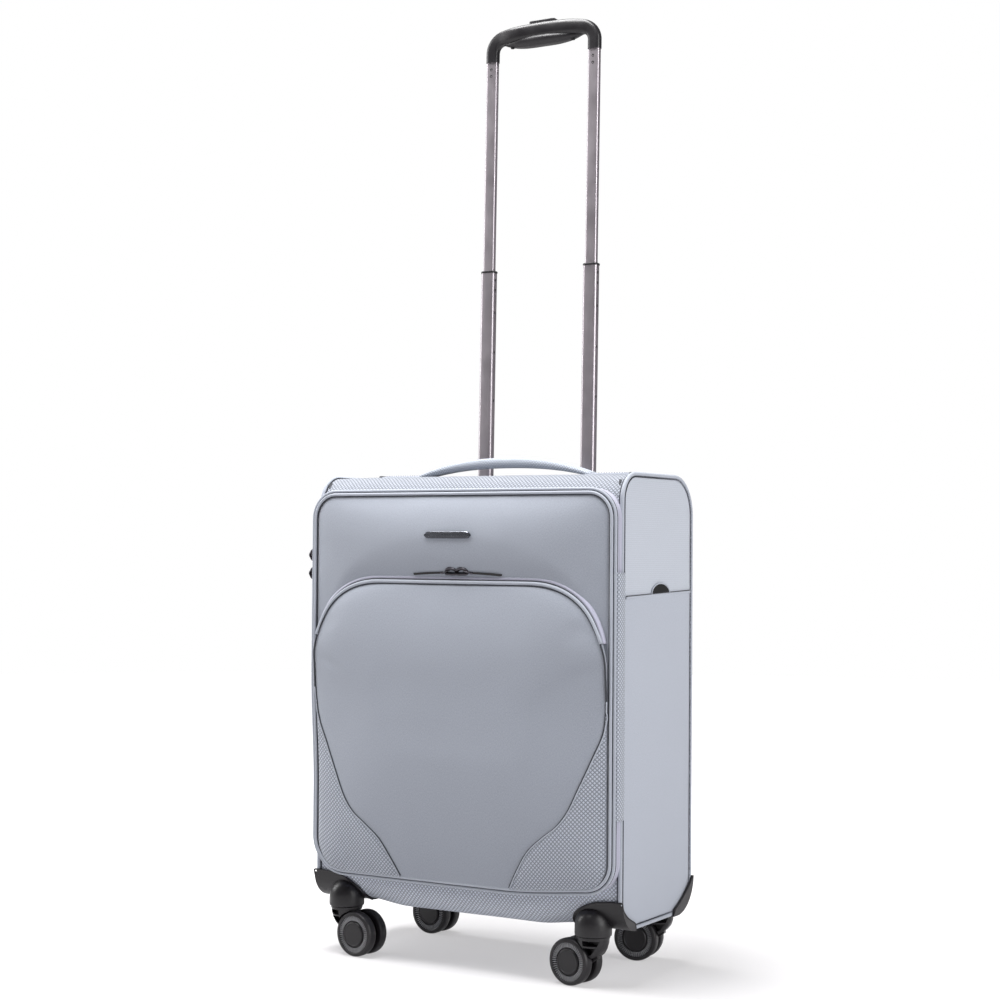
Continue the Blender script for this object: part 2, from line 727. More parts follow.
def arch(inset, step=4.0, foot=ARCH_FOOT):
    """A curve inset mm inside the arch's outer edge, as (x, z) from its left foot to its right foot."""
    right = [(arch_half(foot, inset), foot)]
    for k in range(41):
        angle = math.radians(90 * k / 40)
        z = POCKET_SPRING + (ARCH_TOP - inset - POCKET_SPRING) * math.sin(angle) ** (2 / ARCH_POWER)
        if z > foot:
            right.append((arch_half(z, inset), z))
    left = [(-x, z) for x, z in reversed(right)]
    return even((right + left)[::-1], step, closed=False)


def lid_half(z, inset):
    r = LID_RADIUS - inset
    for corner, distance in ((LID_BOTTOM + inset + r, LID_BOTTOM + inset + r - z), (0, z - (LID_TOP - inset - r))):
        if distance > 0:
            t = min(1.0, distance / r)
            return LID_HALF - inset - r * (1 - math.sqrt(max(0.0, 1 - t * t)))
    return LID_HALF - inset


def levels(bottom, top, low_round, high_round, step):
    """Heights that follow rounded ends closely."""
    result = [bottom + low_round * (1 - math.cos(math.radians(90 * k / 10))) for k in range(10)]
    count = max(2, round((top - high_round - bottom - low_round) / step))
    straight = top - high_round - bottom - low_round
    result += [bottom + low_round + straight * k / count for k in range(count)]
    result += [top - high_round + high_round * math.sin(math.radians(90 * k / 14)) for k in range(15)]
    return result


def pad(name, zs, half, columns, front_y, back_y):
    """Closed pad: a shaped front sheet on a back sheet that share their rim rows."""
    points, uvs = [], []
    for sheet_y in (front_y, back_y):
        for z in zs:
            for c in range(columns):
                u = -1 + 2 * c / (columns - 1)
                x = u * half(z)
                points.append(at(x + drawn_in(x, z), sheet_y(x, z), z + settle(x, z)))
                uvs.append((x * MM, z * MM))
    rows = len(zs)
    size = rows * columns
    faces = grid_faces(rows, columns) + grid_faces(rows, columns, start=size, flip=True)
    rim = [c for c in range(columns)] + [r * columns + columns - 1 for r in range(1, rows)]
    rim += [(rows - 1) * columns + c for c in range(columns - 2, -1, -1)]
    rim += [r * columns for r in range(rows - 2, 0, -1)]
    for a, b in zip(rim, rim[1:] + rim[:1]):
        faces.append((b, a, a + size, b + size))
    return fix_normals(mesh_of(name, points, faces, uvs)), rim, size


# ------------------------------------------------------------------ lid

lid_edge = kdtree.KDTree(800)
for k, (ex, ez) in enumerate(rounded_loop(-LID_HALF, LID_BOTTOM, LID_HALF, LID_TOP, (32, 32, 32, 32), 2.02)[:800]):
    lid_edge.insert((ex, ez, 0), k)
lid_edge.balance()

pocket_edge = kdtree.KDTree(1400)
PAD_LEVELS = levels(POCKET_BOTTOM, PAD_TOP, POCKET_CORNER, PAD_TOP - POCKET_SPRING, 2)
PAD_RIM = ([(pocket_half(z), z) for z in PAD_LEVELS] + [(-pocket_half(z), z) for z in PAD_LEVELS]
           + [(x * 2.0, PAD_TOP) for x in range(-48, 49)] + [(x * 2.0, POCKET_BOTTOM) for x in range(-81, 82)]
           + arch(PAD_INSET, 2.0, POCKET_SPRING))
for k, (ex, ez) in enumerate(PAD_RIM):
    pocket_edge.insert((ex, ez, 0), k)
pocket_edge.balance()

arch_edge = kdtree.KDTree(600)
for k, (ex, ez) in enumerate(arch(0.0, 2.0, POCKET_SPRING)):
    arch_edge.insert((ex, ez, 0), k)
arch_edge.balance()


def lid_surface(x, z):
    """Padded lid face: tucked at the piping, fullest round the badge, drawn in along the pocket's arch."""
    d = lid_edge.find((x, z, 0))[2] - LID_INSET
    tuck = 1 - math.exp(-max(0.0, d) / 6.5)
    across = max(0.0, 1 - abs(x / 196) ** 2.6)
    under_pocket = z < ARCH_TOP and abs(x) < arch_half(z)
    clear = 0.0 if under_pocket else arch_edge.find((x, z, 0))[2]
    swell = 10.5 * across * (1 - math.exp(-clear / 15)) * (1 - 0.85 * smooth(470, 530, z))
    shoulder = 1.6 * (1 - math.exp(-max(0.0, d) / 24))
    slump = 0.5 * wobble(x, 0, z, 70, 3.1) + 0.25 * wobble(x, 0, z, 28, 8.2)
    return LID_FRONT + 0.6 - (2.4 + swell + slump) * tuck - shoulder


SEAM_CURVE = curved(PATCH_SEAM, 1.5)


def seam_x(z):
    """Distance of the corner-patch seam from the centre line at height z."""
    for (x0, z0), (x1, z1) in zip(SEAM_CURVE, SEAM_CURVE[1:]):
        if z1 <= z <= z0:
            return x1 + (x0 - x1) * (z - z1) / (z0 - z1)
    return POCKET_HALF if z > SEAM_CURVE[0][1] else SEAM_CURVE[-1][0]


seam_line = kdtree.KDTree(400)
for k, (ex, ez) in enumerate(SEAM_CURVE):
    seam_line.insert((ex, ez, 0), k)
seam_line.balance()


def pocket_surface(x, z):
    """Padded pocket face: pillowed, pinched along the corner seams."""
    d = pocket_edge.find((x, z, 0))[2]
    lift = 1.2 + (POCKET_EDGE - 1.2) * smooth(262, 372, z)
    tuck = 1 - math.exp(-max(0.0, d - 3.0) / 7.0)
    middle = max(0.0, 1 - abs(x / POCKET_HALF) ** 2.4)
    upright = smooth(POCKET_BOTTOM - 30, POCKET_BOTTOM + 130, z)
    belly = (6.4 - 0.8 * lift) * middle * upright
    shoulder = 7.4 * (1 - math.exp(-max(0.0, d - 3.0) / 27)) * (0.35 + 0.65 * upright)
    near = seam_line.find((abs(x), z, 0))[2]
    pinch = 1.7 * math.exp(-(near / 4.0) ** 2) + 0.8 * math.exp(-(near / 14.0) ** 2)
    slump = 0.7 * wobble(x, 0, z, 85, 1.7) + 0.3 * wobble(x, 0, z, 33, 5.0)
    return LID_FRONT - 0.4 - lift - (2.2 + belly + slump - pinch) * tuck - shoulder


def build_pad(name, zs, half, columns, surface, back, material, replaced, pressure, cap):
    mesh, rim, size = pad(name, zs, half, columns, surface, lambda x, z: back)
    obj = piece(name, mesh, None, material)
    puff(obj, rim + list(range(size, 2 * size)), pressure, cap)
    subdivided(obj)
    final_mesh(obj)
    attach(obj, "lid")
    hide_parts(*replaced)
    return obj


lid_zs = levels(LID_BOTTOM + LID_INSET, LID_TOP - LID_INSET, LID_RADIUS - LID_INSET, LID_RADIUS - LID_INSET, 5.5)
lid_cover = build_pad("lid_cover", lid_zs, lambda z: lid_half(z, LID_INSET), 76, lid_surface,
                      cad("lid_panel")[1].y - MID_Y, "front", ["lid_panel"], 3.0, 2.0)

pocket_zs = levels(POCKET_BOTTOM, PAD_TOP, POCKET_CORNER, PAD_TOP - POCKET_SPRING, 5.0)
pocket_cover = build_pad("pocket_cover", pocket_zs, pocket_half, 80, pocket_surface,
                         LID_FRONT - 0.2, "front", ["pocket_panel"], 3.5, 2.5)


def surface_tree(obj):
    graph = bpy.context.evaluated_depsgraph_get()
    return BVHTree.FromObject(obj, graph)


pocket_tree = surface_tree(pocket_cover)
lid_tree = surface_tree(lid_cover)


def drape(tree, x, z, stand, fallback):
    """Point on the padded face at (x, z), standing off it by stand mm."""
    x, z = x + drawn_in(x, z), z + settle(x, z)
    start = at(x, -300, z)
    hit, normal, _, _ = tree.ray_cast(start, BACK)
    if hit is None:
        return at(x, fallback(x, z) - stand, z)
    if normal.y > 0:
        normal = -normal
    return hit + normal * stand * MM


def corner_patch(side):
    rows, columns = 56, 40
    points, uvs = [], []
    for r in range(rows):
        z = POCKET_BOTTOM + 1.2 + (PATCH_SEAM[0][1] - 16 - POCKET_BOTTOM) * r / (rows - 1)
        inner = seam_x(z)
        outer = pocket_half(z) - 0.8
        for c in range(columns):
            x = inner + (outer - inner) * c / (columns - 1)
            edge = min(c, columns - 1 - c, r) / 2.0
            stand = 0.15 + 0.75 * min(1.0, edge)
            points.append(drape(pocket_tree, side * x, z, stand, pocket_surface))
            uvs.append((side * x * MM, z * MM))
    mesh = mesh_of("patch", points, grid_faces(rows, columns), uvs)
    name = "pocket_patch_right" if side > 0 else "pocket_patch_left"
    obj = piece(name, fix_front(mesh), "lid", "front_diamond")
    thicken(obj, 1.0)
    return obj


def fix_front(mesh):
    """Turn a sheet so that its normals point out of the front."""
    mesh.update()
    if sum(p.normal.y * p.area for p in mesh.polygons) > 0:
        mesh.flip_normals()
    return mesh


def thicken(obj, thickness):
    solid = obj.modifiers.new("thickness", "SOLIDIFY")
    solid.thickness = thickness * MM
    solid.offset = -1.0
    final_mesh(obj)
    return obj


for side in (-1, 1):
    corner_patch(side)
    tag = "right" if side > 0 else "left"
    for name, shift, stand, radius, material in (("patch_seam", -0.6, 0.25, 0.8, "seam"),
                                                 ("patch_fold", 0.9, 0.75, 0.75, "piping")):
        line = [drape(pocket_tree, side * (x + shift), z, stand, pocket_surface) for x, z in curved(PATCH_SEAM, 3)
                if z > POCKET_BOTTOM + 1]
        piece(f"{name}_{tag}", sweep("seam", line, circle(radius, 8), BACK), "lid", material)

# Piping round the lid and the dark tuck inside it.
LID_CORDS = (("lid_seam", 7.0, -0.1, 1.0, "seam"), ("lid_piping", 5.0, -0.5, 1.7, "piping"),
             ("lid_fold_line", 3.0, 0.9, 0.8, "seam"), ("lid_edge_piping", 1.2, 1.4, 1.7, "piping"),
             ("lid_back_piping", 0.4, 3.7, 0.7, "seam"))
for name, inset, back, radius, material in LID_CORDS:
    cord = sweep("cord", lid_loop(inset, LID_FRONT + back), circle(radius, 12), BACK, True)
    piece(name, cord, "lid", material)


def tape_ring(name, y0, y1, body, replaced):
    """A flat zip tape standing round the lid edge, between two depths."""
    width = y1 - y0
    section = [(b, a) for a, b in plank(width, 1.0, 0.35)]
    mesh = sweep(name, lid_loop(0.9, (y0 + y1) / 2), section, BACK, True)
    return piece(name, mesh, body, "tape", replaced)


tape_ring("lid_tape", LID_FRONT + 4.2, PARTING_Y - 0.35, "lid", ["lid_zip_tape"])
tape_ring("case_tape", PARTING_Y + 0.35, CASE_FRONT - 0.2, "case", ["case_zip_tape"])


def coil(name, y, body):
    """Zip teeth on the inner side of a tape edge."""
    loop = lid_loop(2.3, y, 2.4)
    points, faces = [], []
    for i, here in enumerate(loop):
        tangent = (loop[(i + 1) % len(loop)] - loop[i - 1]).normalized()
        side = tangent.cross(BACK).normalized()
        start = len(points)
        for a in (-0.75, 0.75):
            for b, c in ((-0.9, -1.0), (0.9, -1.0), (0.9, 1.0), (-0.9, 1.0)):
                points.append(here + (tangent * a + side * b + BACK * c) * MM)
        faces += [tuple(start + k for k in quad) for quad in
                  ((0, 1, 2, 3), (7, 6, 5, 4), (0, 4, 5, 1), (1, 5, 6, 2), (2, 6, 7, 3), (3, 7, 4, 0))]
    piece(name, fix_normals(mesh_of(name, points, faces)), body, "coil", angle=30)


coil("lid_zip_coil", PARTING_Y - 1.6, "lid")
coil("case_zip_coil", PARTING_Y + 1.6, "case")


def hinge_gusset():
    """Padded cloth hinge from the lid's edge round to the case side."""
    z0, z1 = STRIP_LOW.z, STRIP_HIGH.z
    profile = [(-98.5, 196.6), (-96, 197.7), (-92.5, 198.2), (-89, 198.2), (-85.5, 197.9), (-82, 197.2), (-79.5, 195.9)]
    profile = even(profile, 1.4, closed=False)
    rows, columns = 66, len(profile)
    points, uvs = [], []
    for r in range(rows):
        z = z0 + (z1 - z0) * r / (rows - 1)
        for c, (y, x) in enumerate(profile):
            points.append(at(x + 0.35 * wobble(0, y, z, 22, 2.0), y, z))
            uvs.append((y * MM, z * MM))
    mesh = mesh_of("hinge", points, grid_faces(rows, columns), uvs)
    if sum(p.normal.x for p in mesh.polygons) < 0:
        mesh.flip_normals()
    obj = piece("hinge_gusset", mesh, None, "front_diamond", ["hinge_strip"])
    thicken(obj, 1.0)
    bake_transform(obj)


hinge_gusset()

# ------------------------------------------------------------------ pocket edge


def ledge_y(z):
    """How far forward the pocket's edge stands at height z. It sinks in where the arch meets the lid's edge."""
    return LID_FRONT - 1.6 - (POCKET_EDGE - 1.2) * smooth(262, 372, z)


def arch_cord(name, inset, forward, radius, material, foot=ARCH_FOOT):
    """A cord that follows the arch, forward mm in front of the pocket's edge."""
    line = [at(x, ledge_y(z) - forward, z) for x, z in arch(inset, foot=foot)]
    piece(name, sweep("cord", line, circle(radius, 12), BACK), "lid", material)


def pocket_tape():
    """Zip tape along the arch, sloping from the lid's face out to the pocket's piping."""
    outer, inner = even(arch(0.0), 1, closed=False), even(arch(4.8), 1, closed=False)
    count = 180
    sections = []
    for k in range(count + 1):
        a = outer[round(k * (len(outer) - 1) / count)]
        b = inner[round(k * (len(inner) - 1) / count)]
        pa = at(a[0], lid_surface(*a) + 0.2, a[1])
        pb = at(b[0], ledge_y(b[1]) + 1.3, b[1])
        out = Vector((a[0] - b[0] * 0.98, 0, a[1] - b[1])).normalized()
        lift = (out * 0.5 - BACK).normalized() * MM
        sections.append([pa, (pa + pb) / 2, pb, pb + lift * 0.9, (pa + pb) / 2 + lift * 1.3, pa + lift * 0.7])
    piece("pocket_tape", loft("tape", sections), "lid", "tape", ["pocket_zip_tape"])


pocket_tape()
arch_cord("pocket_zip_line", 5.2, -0.5, 0.7, "seam")
arch_cord("pocket_piping", 7.7, 0.2, 2.0, "piping")
arch_cord("pocket_seam", 10.3, 0.5, 1.05, "seam", PATCH_SEAM[0][1])

# ------------------------------------------------------------------ badge


def badge():
    """Plain metal bar on two posts, following the swell of the lid."""
    middle = (BADGE_LOW + BADGE_HIGH) / 2
    half = (BADGE_HIGH.x - BADGE_LOW.x) / 2
    rise = (BADGE_HIGH.z - BADGE_LOW.z) / 2 - 1.1
    sections = []
    for k in range(25):
        t = -1 + 2 * k / 24
        x = middle.x + half * t
        base = drape(lid_tree, x, middle.z, 0.1, lid_surface)
        h = rise * math.sqrt(max(0.02, 1 - abs(t) ** 14))
        section = [(-h, 0), (-h, 1.3), (-h + 0.5, 1.9), (-0.9, 1.9), (-0.5, 1.45), (0.5, 1.45), (0.9, 1.9),
                   (h - 0.5, 1.9), (h, 1.3), (h, 0)]
        sections.append([base + Vector((0, -b, a)) * MM for a, b in section])
    piece("badge_bar", loft("badge", sections), "lid", "badge", ["badge"], angle=35)


badge()

# ------------------------------------------------------------------ case shell


def case_band():
    """Fabric wrapped over the top, back and bottom and turned in round the front opening."""
    loop = rounded_loop(CASE_FRONT, CASE_BOTTOM, CASE_BACK, CASE_TOP, CASE_RADII, 5.0)
    count = len(loop)
    columns = 60
    centre = (0.0, (CASE_TOP + CASE_BOTTOM) / 2)
    points, uvs = [], []
    for inner in (0, 1):
        for i, (y, z) in enumerate(loop):
            before, after = loop[i - 1], loop[(i + 1) % count]
            normal = Vector((after[1] - before[1], before[0] - after[0])).normalized()
            for c in range(columns):
                x = -BAND_X + 2 * BAND_X * c / (columns - 1)
                edge = 1 - abs(x / BAND_X) ** 6
                low = (1 - smooth(CASE_BOTTOM + 2, CASE_BOTTOM + 60, z)) * smooth(136, 84, abs(x))
                swell = (0.9 + 0.35 * wobble(x, y, z, 45, 4.4)) * edge + BOTTOM_SAG * low
                offset = -WALL if inner else swell
                points.append(at(x, y + normal.x * offset, z + normal.y * offset))
                uvs.append((x * MM, i * 5.0 * MM))
    size = count * columns
    faces = grid_faces(count, columns, wrap_rows=True)
    faces += grid_faces(count, columns, wrap_rows=True, start=size, flip=True)
    for r in range(count):
        r2 = (r + 1) % count
        for c, turn in ((0, 1), (columns - 1, -1)):
            quad = (r * columns + c, r2 * columns + c, size + r2 * columns + c, size + r * columns + c)
            faces.append(quad[::turn])
    mesh = fix_normals(mesh_of("band", points, faces, uvs))
    opening = rounded_loop(-180, 118, 180, 509, (24, 24, 24, 24), 8)
    tools = [prism("tool", opening, lambda u, v, w: at(u, w, v), CASE_FRONT - 10, CASE_FRONT + 12)]
    bezel_low, bezel_high = cad("trolley_bezel")
    tools.append(cube_tool((bezel_low.x - 0.3, bezel_low.y - MID_Y - 0.3, bezel_low.z + 12),
                           (bezel_high.x + 0.3, CASE_BACK + 20, CASE_TOP + 20)))
    for sx, sy, _ in CASTERS.values():
        place = Matrix.Translation(at(sx * CASTER_AXIS[0], sy * CASTER_AXIS[1], 0))
        opening = [(0, 40)] + [(r + 0.25 if r else 0, h + 0.25) for r, h in [(19.9, 39.75)] + CUP_DOME]
        tools.append(lathe("tool", opening, place, 48))
    mesh = carve(mesh, tools)
    piece("case_band", mesh, "case", "band", ["body_band"], angle=50)


case_band()


def side_half(z, offset=0.0):
    """Front and back y of the side panel at height z."""
    def inset(r, distance):
        if distance <= 0:
            return 0.0
        t = min(1.0, distance / r)
        return r * (1 - math.sqrt(max(0.0, 1 - t * t)))
    fb, bb, bt, ft = CASE_RADII
    front = CASE_FRONT + max(inset(fb, CASE_BOTTOM + fb - z), inset(ft, z - CASE_TOP + ft)) + offset
    back = CASE_BACK - max(inset(bb, CASE_BOTTOM + bb - z), inset(bt, z - CASE_TOP + bt)) - offset
    return front, back


def pocket_line(y):
    """Height of the side pocket's mouth, a little higher towards the back."""
    return SIDE_POCKET_TOP - 1.5 + 4.0 * (y + 70) / 140


def side_sheet(name, side, low, high, material, replaced, puffed, rows=70):
    """One cloth panel of a side, between two heights, a little full in the middle."""
    columns = 36
    points, uvs = [], []
    for r in range(rows):
        for c in range(columns):
            t = c / (columns - 1)
            z0 = low + (high - low) * (0.5 - 0.5 * math.cos(math.pi * r / (rows - 1)))
            front, back = side_half(z0, 0.6)
            y = front + (back - front) * t
            z = z0
            if low > CASE_BOTTOM + 50:
                z = z0 + (pocket_line(y) - SIDE_POCKET_TOP) * (1 - smooth(low, low + 60, z0))
            if high < CASE_TOP - 50:
                z = z0 + (pocket_line(y) - SIDE_POCKET_TOP) * smooth(high - 60, high, z0)
            rim = min((y - front), (back - y), z0 - CASE_BOTTOM, CASE_TOP - z0)
            fullness = puffed * (1 - math.exp(-max(0.0, rim) / 16)) * (0.6 + 0.4 * math.sin(math.pi * t))
            wave = 0.5 * wobble(0, y, z, 55, 6.0 + side) * min(1.0, rim / 10)
            points.append(at(side * (SIDE_X - 0.4 + fullness + wave), y, z))
            uvs.append((y * MM, z * MM))
    mesh = mesh_of(name, points, grid_faces(rows, columns), uvs)
    if sum(p.normal.x * p.area for p in mesh.polygons) * side < 0:
        mesh.flip_normals()
    obj = piece(name, mesh, "case", material, replaced)
    thicken(obj, 1.6)
    return obj


side_sheet("side_upper_right", 1, SIDE_POCKET_TOP, CASE_TOP - 0.6, "side_diamond", ["side_panel_right"], 1.0)
side_sheet("side_lower_right", 1, CASE_BOTTOM + 0.6, SIDE_POCKET_TOP, "side", ["side_pocket_right"], 1.9, 90)
side_sheet("side_left", -1, CASE_BOTTOM + 0.6, CASE_TOP - 0.6, "side_diamond", ["side_panel_left"], 1.4, 150)

for side in (-1, 1):
    tag = "right" if side > 0 else "left"
    piece(f"side_piping_{tag}", sweep("p", case_loop(0.6, side * (SIDE_X - 0.9)), circle(2.3, 12), RIGHT, True),
          "case", "piping")
    piece(f"side_seam_{tag}", sweep("p", case_loop(-2.3, side * (SIDE_X + 0.55)), circle(0.8, 6), RIGHT, True),
          "case", "side_seam")
    piece(f"side_inner_seam_{tag}", sweep("p", case_loop(0.7, side * (SIDE_X - 3.8)), circle(0.8, 6), RIGHT, True),
          "case", "side_seam")


def side_mouth():
    """Bound edge of the side pocket and its thumb notch."""
    line = [at(SIDE_X + 1.1, y, pocket_line(y)) for y in range(-78, 79, 3)]
    section = [(b, a) for a, b in plank(2.6, 1.0, 0.3)]
    piece("side_pocket_binding", sweep("p", line, plank(2.4, 0.9, 0.3), RIGHT), "case", "side")
    shade = [p + Vector((0.25, 0, 1.7)) * MM for p in line]
    piece("side_pocket_gap", sweep("p", shade, circle(0.55, 6), RIGHT), "case", "seam")
    low, high = cad("side_pocket_notch")
    middle = (low.y + high.y) / 2 - MID_Y
    half = (high.y - low.y) / 2
    rise = high.z - low.z
    rim = [(middle + half * math.cos(math.radians(a)), pocket_line(middle) + 0.6 + rise * math.sin(math.radians(a)))
           for a in range(0, 181, 6)]
    mesh = prism("notch", rim, lambda u, v, w: at(w, u, v), SIDE_X + 0.5, SIDE_X + 1.55)
    piece("thumb_notch", mesh, "case", "hole", ["side_pocket_notch"], angle=40)
    edge = [at(SIDE_X + 1.5, u, v) for u, v in rim]
    piece("thumb_notch_binding", sweep("p", edge, circle(0.8, 8), RIGHT), "case", "piping")


side_mouth()

# ------------------------------------------------------------------ carry handle


def carry_handle():
    """Padded strap handle: smooth top, embossed flanks, flattening into its anchors."""
    y0 = HANDLE_Y
    half_width = (HANDLE_HIGH.y - HANDLE_LOW.y) / 2
    span = HANDLE_HIGH.x
    sections = []
    for k in range(61):
        t = -1 + 2 * k / 60
        x = span * t
        lift = 1 - abs(t) ** 2.3
        under = HANDLE_LOW.z + 0.1 + 11.4 * lift
        thick = 5.4 + 6.6 * lift
        wide = half_width * (1.0 - 0.1 * lift)
        section = []
        for a in range(0, 360, 18):
            ca, sa = math.cos(math.radians(a)), math.sin(math.radians(a))
            u = math.copysign(abs(ca) ** 0.62, ca) * wide
            v = math.copysign(abs(sa) ** 0.72, sa) * thick / 2
            section.append(at(x, y0 + u, under + thick / 2 + v))
        sections.append(section)
    piece("handle_grip", loft("handle", sections), "case", "handle", ["carry_handle"])
    for side in (-1, 1):
        tag = "right" if side > 0 else "left"
        node = f"handle_anchor_{tag}"
        a_low, a_high = cad(node)
        wrap = []
        for k in range(21):
            t = k / 20
            x = side * (108 + (HANDLE_END - 108) * t)
            d = min(t, 1 - t)
            top = 3.0 + 0.9 * smooth(0, 0.12, d)
            wide = (a_high.y - a_low.y) / 2 - 1.2 + 0.8 * smooth(0, 0.1, d)
            section = []
            for a in range(0, 360, 20):
                ca, sa = math.cos(math.radians(a)), math.sin(math.radians(a))
                u = math.copysign(abs(ca) ** 0.35, ca) * wide
                v = math.copysign(abs(sa) ** 0.5, sa) * top / 2
                section.append(at(x, y0 + u, a_low.z + top / 2 + v))
            wrap.append(section)
        piece(f"handle_base_{tag}", loft("anchor", wrap), "case", "front", [node])
        far = side * HANDLE_END
        bar = block("bar", (far - 2.5, y0 - 13.5, a_low.z), (far + 2.5, y0 + 13.5, a_low.z + 4.4), 1.2)
        piece(f"handle_end_bar_{tag}", bar, "case", "seam", angle=40)
        stitches(f"handle_stitch_{tag}", side, y0, a_low.z + 4.0)


def stitches(name, side, y0, z):
    """A box of stitches on a handle base."""
    x0, x1 = sorted((side * 114, side * (HANDLE_END - 7)))
    half = 10.5
    corners = [(x0, y0 - half), (x1, y0 - half), (x1, y0 + half), (x0, y0 + half)]
    points, faces = [], []
    loop = even(corners, 1.6)
    for i in range(0, len(loop) - 1, 2):
        (xa, ya), (xb, yb) = loop[i], loop[(i + 1) % len(loop)]
        if math.dist((xa, ya), (xb, yb)) > 3:
            continue
        direction = Vector((xb - xa, yb - ya, 0)).normalized()
        side = Vector((-direction.y, direction.x, 0))
        start = len(points)
        for a, h in ((-0.15, -0.3), (0.5, 0.35), (1.15, -0.3)):
            base = Vector((xa, ya, z)) + direction * a * 1.6 + UP * h
            for b, c in ((-0.3, -0.3), (0.3, -0.3), (0.3, 0.3), (-0.3, 0.3)):
                points.append(at(*(base + side * b + UP * c)))
        for s in range(2):
            for b in range(4):
                b2 = (b + 1) % 4
                faces.append((start + s * 4 + b, start + s * 4 + b2, start + s * 4 + 4 + b2, start + s * 4 + 4 + b))
        faces.append((start + 3, start + 2, start + 1, start))
        faces.append((start + 8, start + 9, start + 10, start + 11))
    piece(name, fix_normals(mesh_of(name, points, faces)), "case", "piping")


carry_handle()

# ------------------------------------------------------------------ trolley


def leaned(x, y, z):
    """A trolley point drawn upright, leaned back about the case top."""
    dy, dz = y - TROLLEY_Y, z - CASE_TOP
    return at(x, TROLLEY_Y + dy * math.cos(LEAN) + dz * math.sin(LEAN),
              CASE_TOP - dy * math.sin(LEAN) + dz * math.cos(LEAN))


def tube_outline(width, depth):
    """Rounded rectangle with three extrusion grooves down each narrow side."""
    r = depth * 0.3
    loop = arc(width / 2 - r, -depth / 2 + r, r, r, -90, 0, 5)
    usable = depth - 2 * r
    for k in (-1, 0, 1):
        centre = k * usable * 0.34
        loop += [(width / 2, centre - 0.5), (width / 2 - 0.55, centre - 0.25),
                 (width / 2 - 0.55, centre + 0.25), (width / 2, centre + 0.5)]
    loop += arc(width / 2 - r, depth / 2 - r, r, r, 0, 90, 5)
    return loop + [(-u, -v) for u, v in loop]


def upright_size(node):
    """Bottom and top of a leaned tube, measured along the tube."""
    low, high = cad(node)
    return (CASE_TOP + (low.z - CASE_TOP) / math.cos(LEAN), CASE_TOP + (high.z - CASE_TOP) / math.cos(LEAN))


def tube(name, node, side, width, depth, body):
    z0, z1 = upright_size(node)
    z1 = min(z1, cad("grip_shell")[0].z + 10)
    outline = tube_outline(width, depth)
    mesh = prism(name, outline, lambda u, v, w: leaned(side * TUBE_X + u, TROLLEY_Y + v, w), z0, z1, 0.4)
    piece(name, mesh, body, "tube", [node], angle=30)


def dot(name, centre, normal, radius, body, material="hole"):
    """A small recessed hole: a dark dished disc with a fine rim."""
    up = UP if abs(normal.z) < 0.9 else RIGHT
    side = up.cross(normal).normalized()
    place = Matrix.Translation(centre) @ Matrix([side, normal.cross(side), normal]).transposed().to_4x4()
    profile = [(0, -0.6), (radius, -0.6), (radius, 0.08), (radius - 0.25, 0.14), (radius - 0.5, 0.02), (0, -0.05)]
    return piece(name, lathe(name, profile, place, 20), body, material)


def trolley():
    for tag, side in (("left", -1), ("right", 1)):
        tube(f"tube_mid_{tag}", f"trolley_mid_tube_{tag}", side, 17.6, 11.2, "trolley_mid")
        tube(f"tube_inner_{tag}", f"trolley_inner_tube_{tag}", side, 14.2, 8.0, "trolley_grip")
        top = upright_size(f"trolley_mid_tube_{tag}")[1]
        collar = [(9.1, 5.9, top - 1.3), (9.3, 6.1, top - 1.0), (9.3, 6.1, top + 0.8), (8.7, 5.6, top + 1.2)]
        sections = [[leaned(side * TUBE_X + u, TROLLEY_Y + v, z) for u, v in superellipse(w, d, 4.5, 28)]
                    for w, d, z in collar]
        piece(f"collar_{tag}", loft("collar", sections), "trolley_mid", "black", angle=35)
        for k, z in enumerate((780, 768, 741, 694, 636)):
            centre = leaned(side * TUBE_X + 8.75, TROLLEY_Y - 0.2, z)
            dot(f"lock_hole_{tag}_{k}", centre, RIGHT, 1.5, "trolley_mid")
        grip_low = cad("grip_shell")[0].z
        for k, drop in enumerate((8.5, 16.5)):
            centre = leaned(side * TUBE_X, TROLLEY_Y - 4.0, grip_low - drop)
            dot(f"tube_dimple_{tag}_{k}", centre, -BACK, 1.7, "trolley_grip")


def superellipse(a, b, power, count):
    loop = []
    for k in range(count):
        t = 2 * math.pi * k / count
        c, s = math.cos(t), math.sin(t)
        loop.append((math.copysign(abs(c) ** (2 / power), c) * a, math.copysign(abs(s) ** (2 / power), s) * b))
    return loop


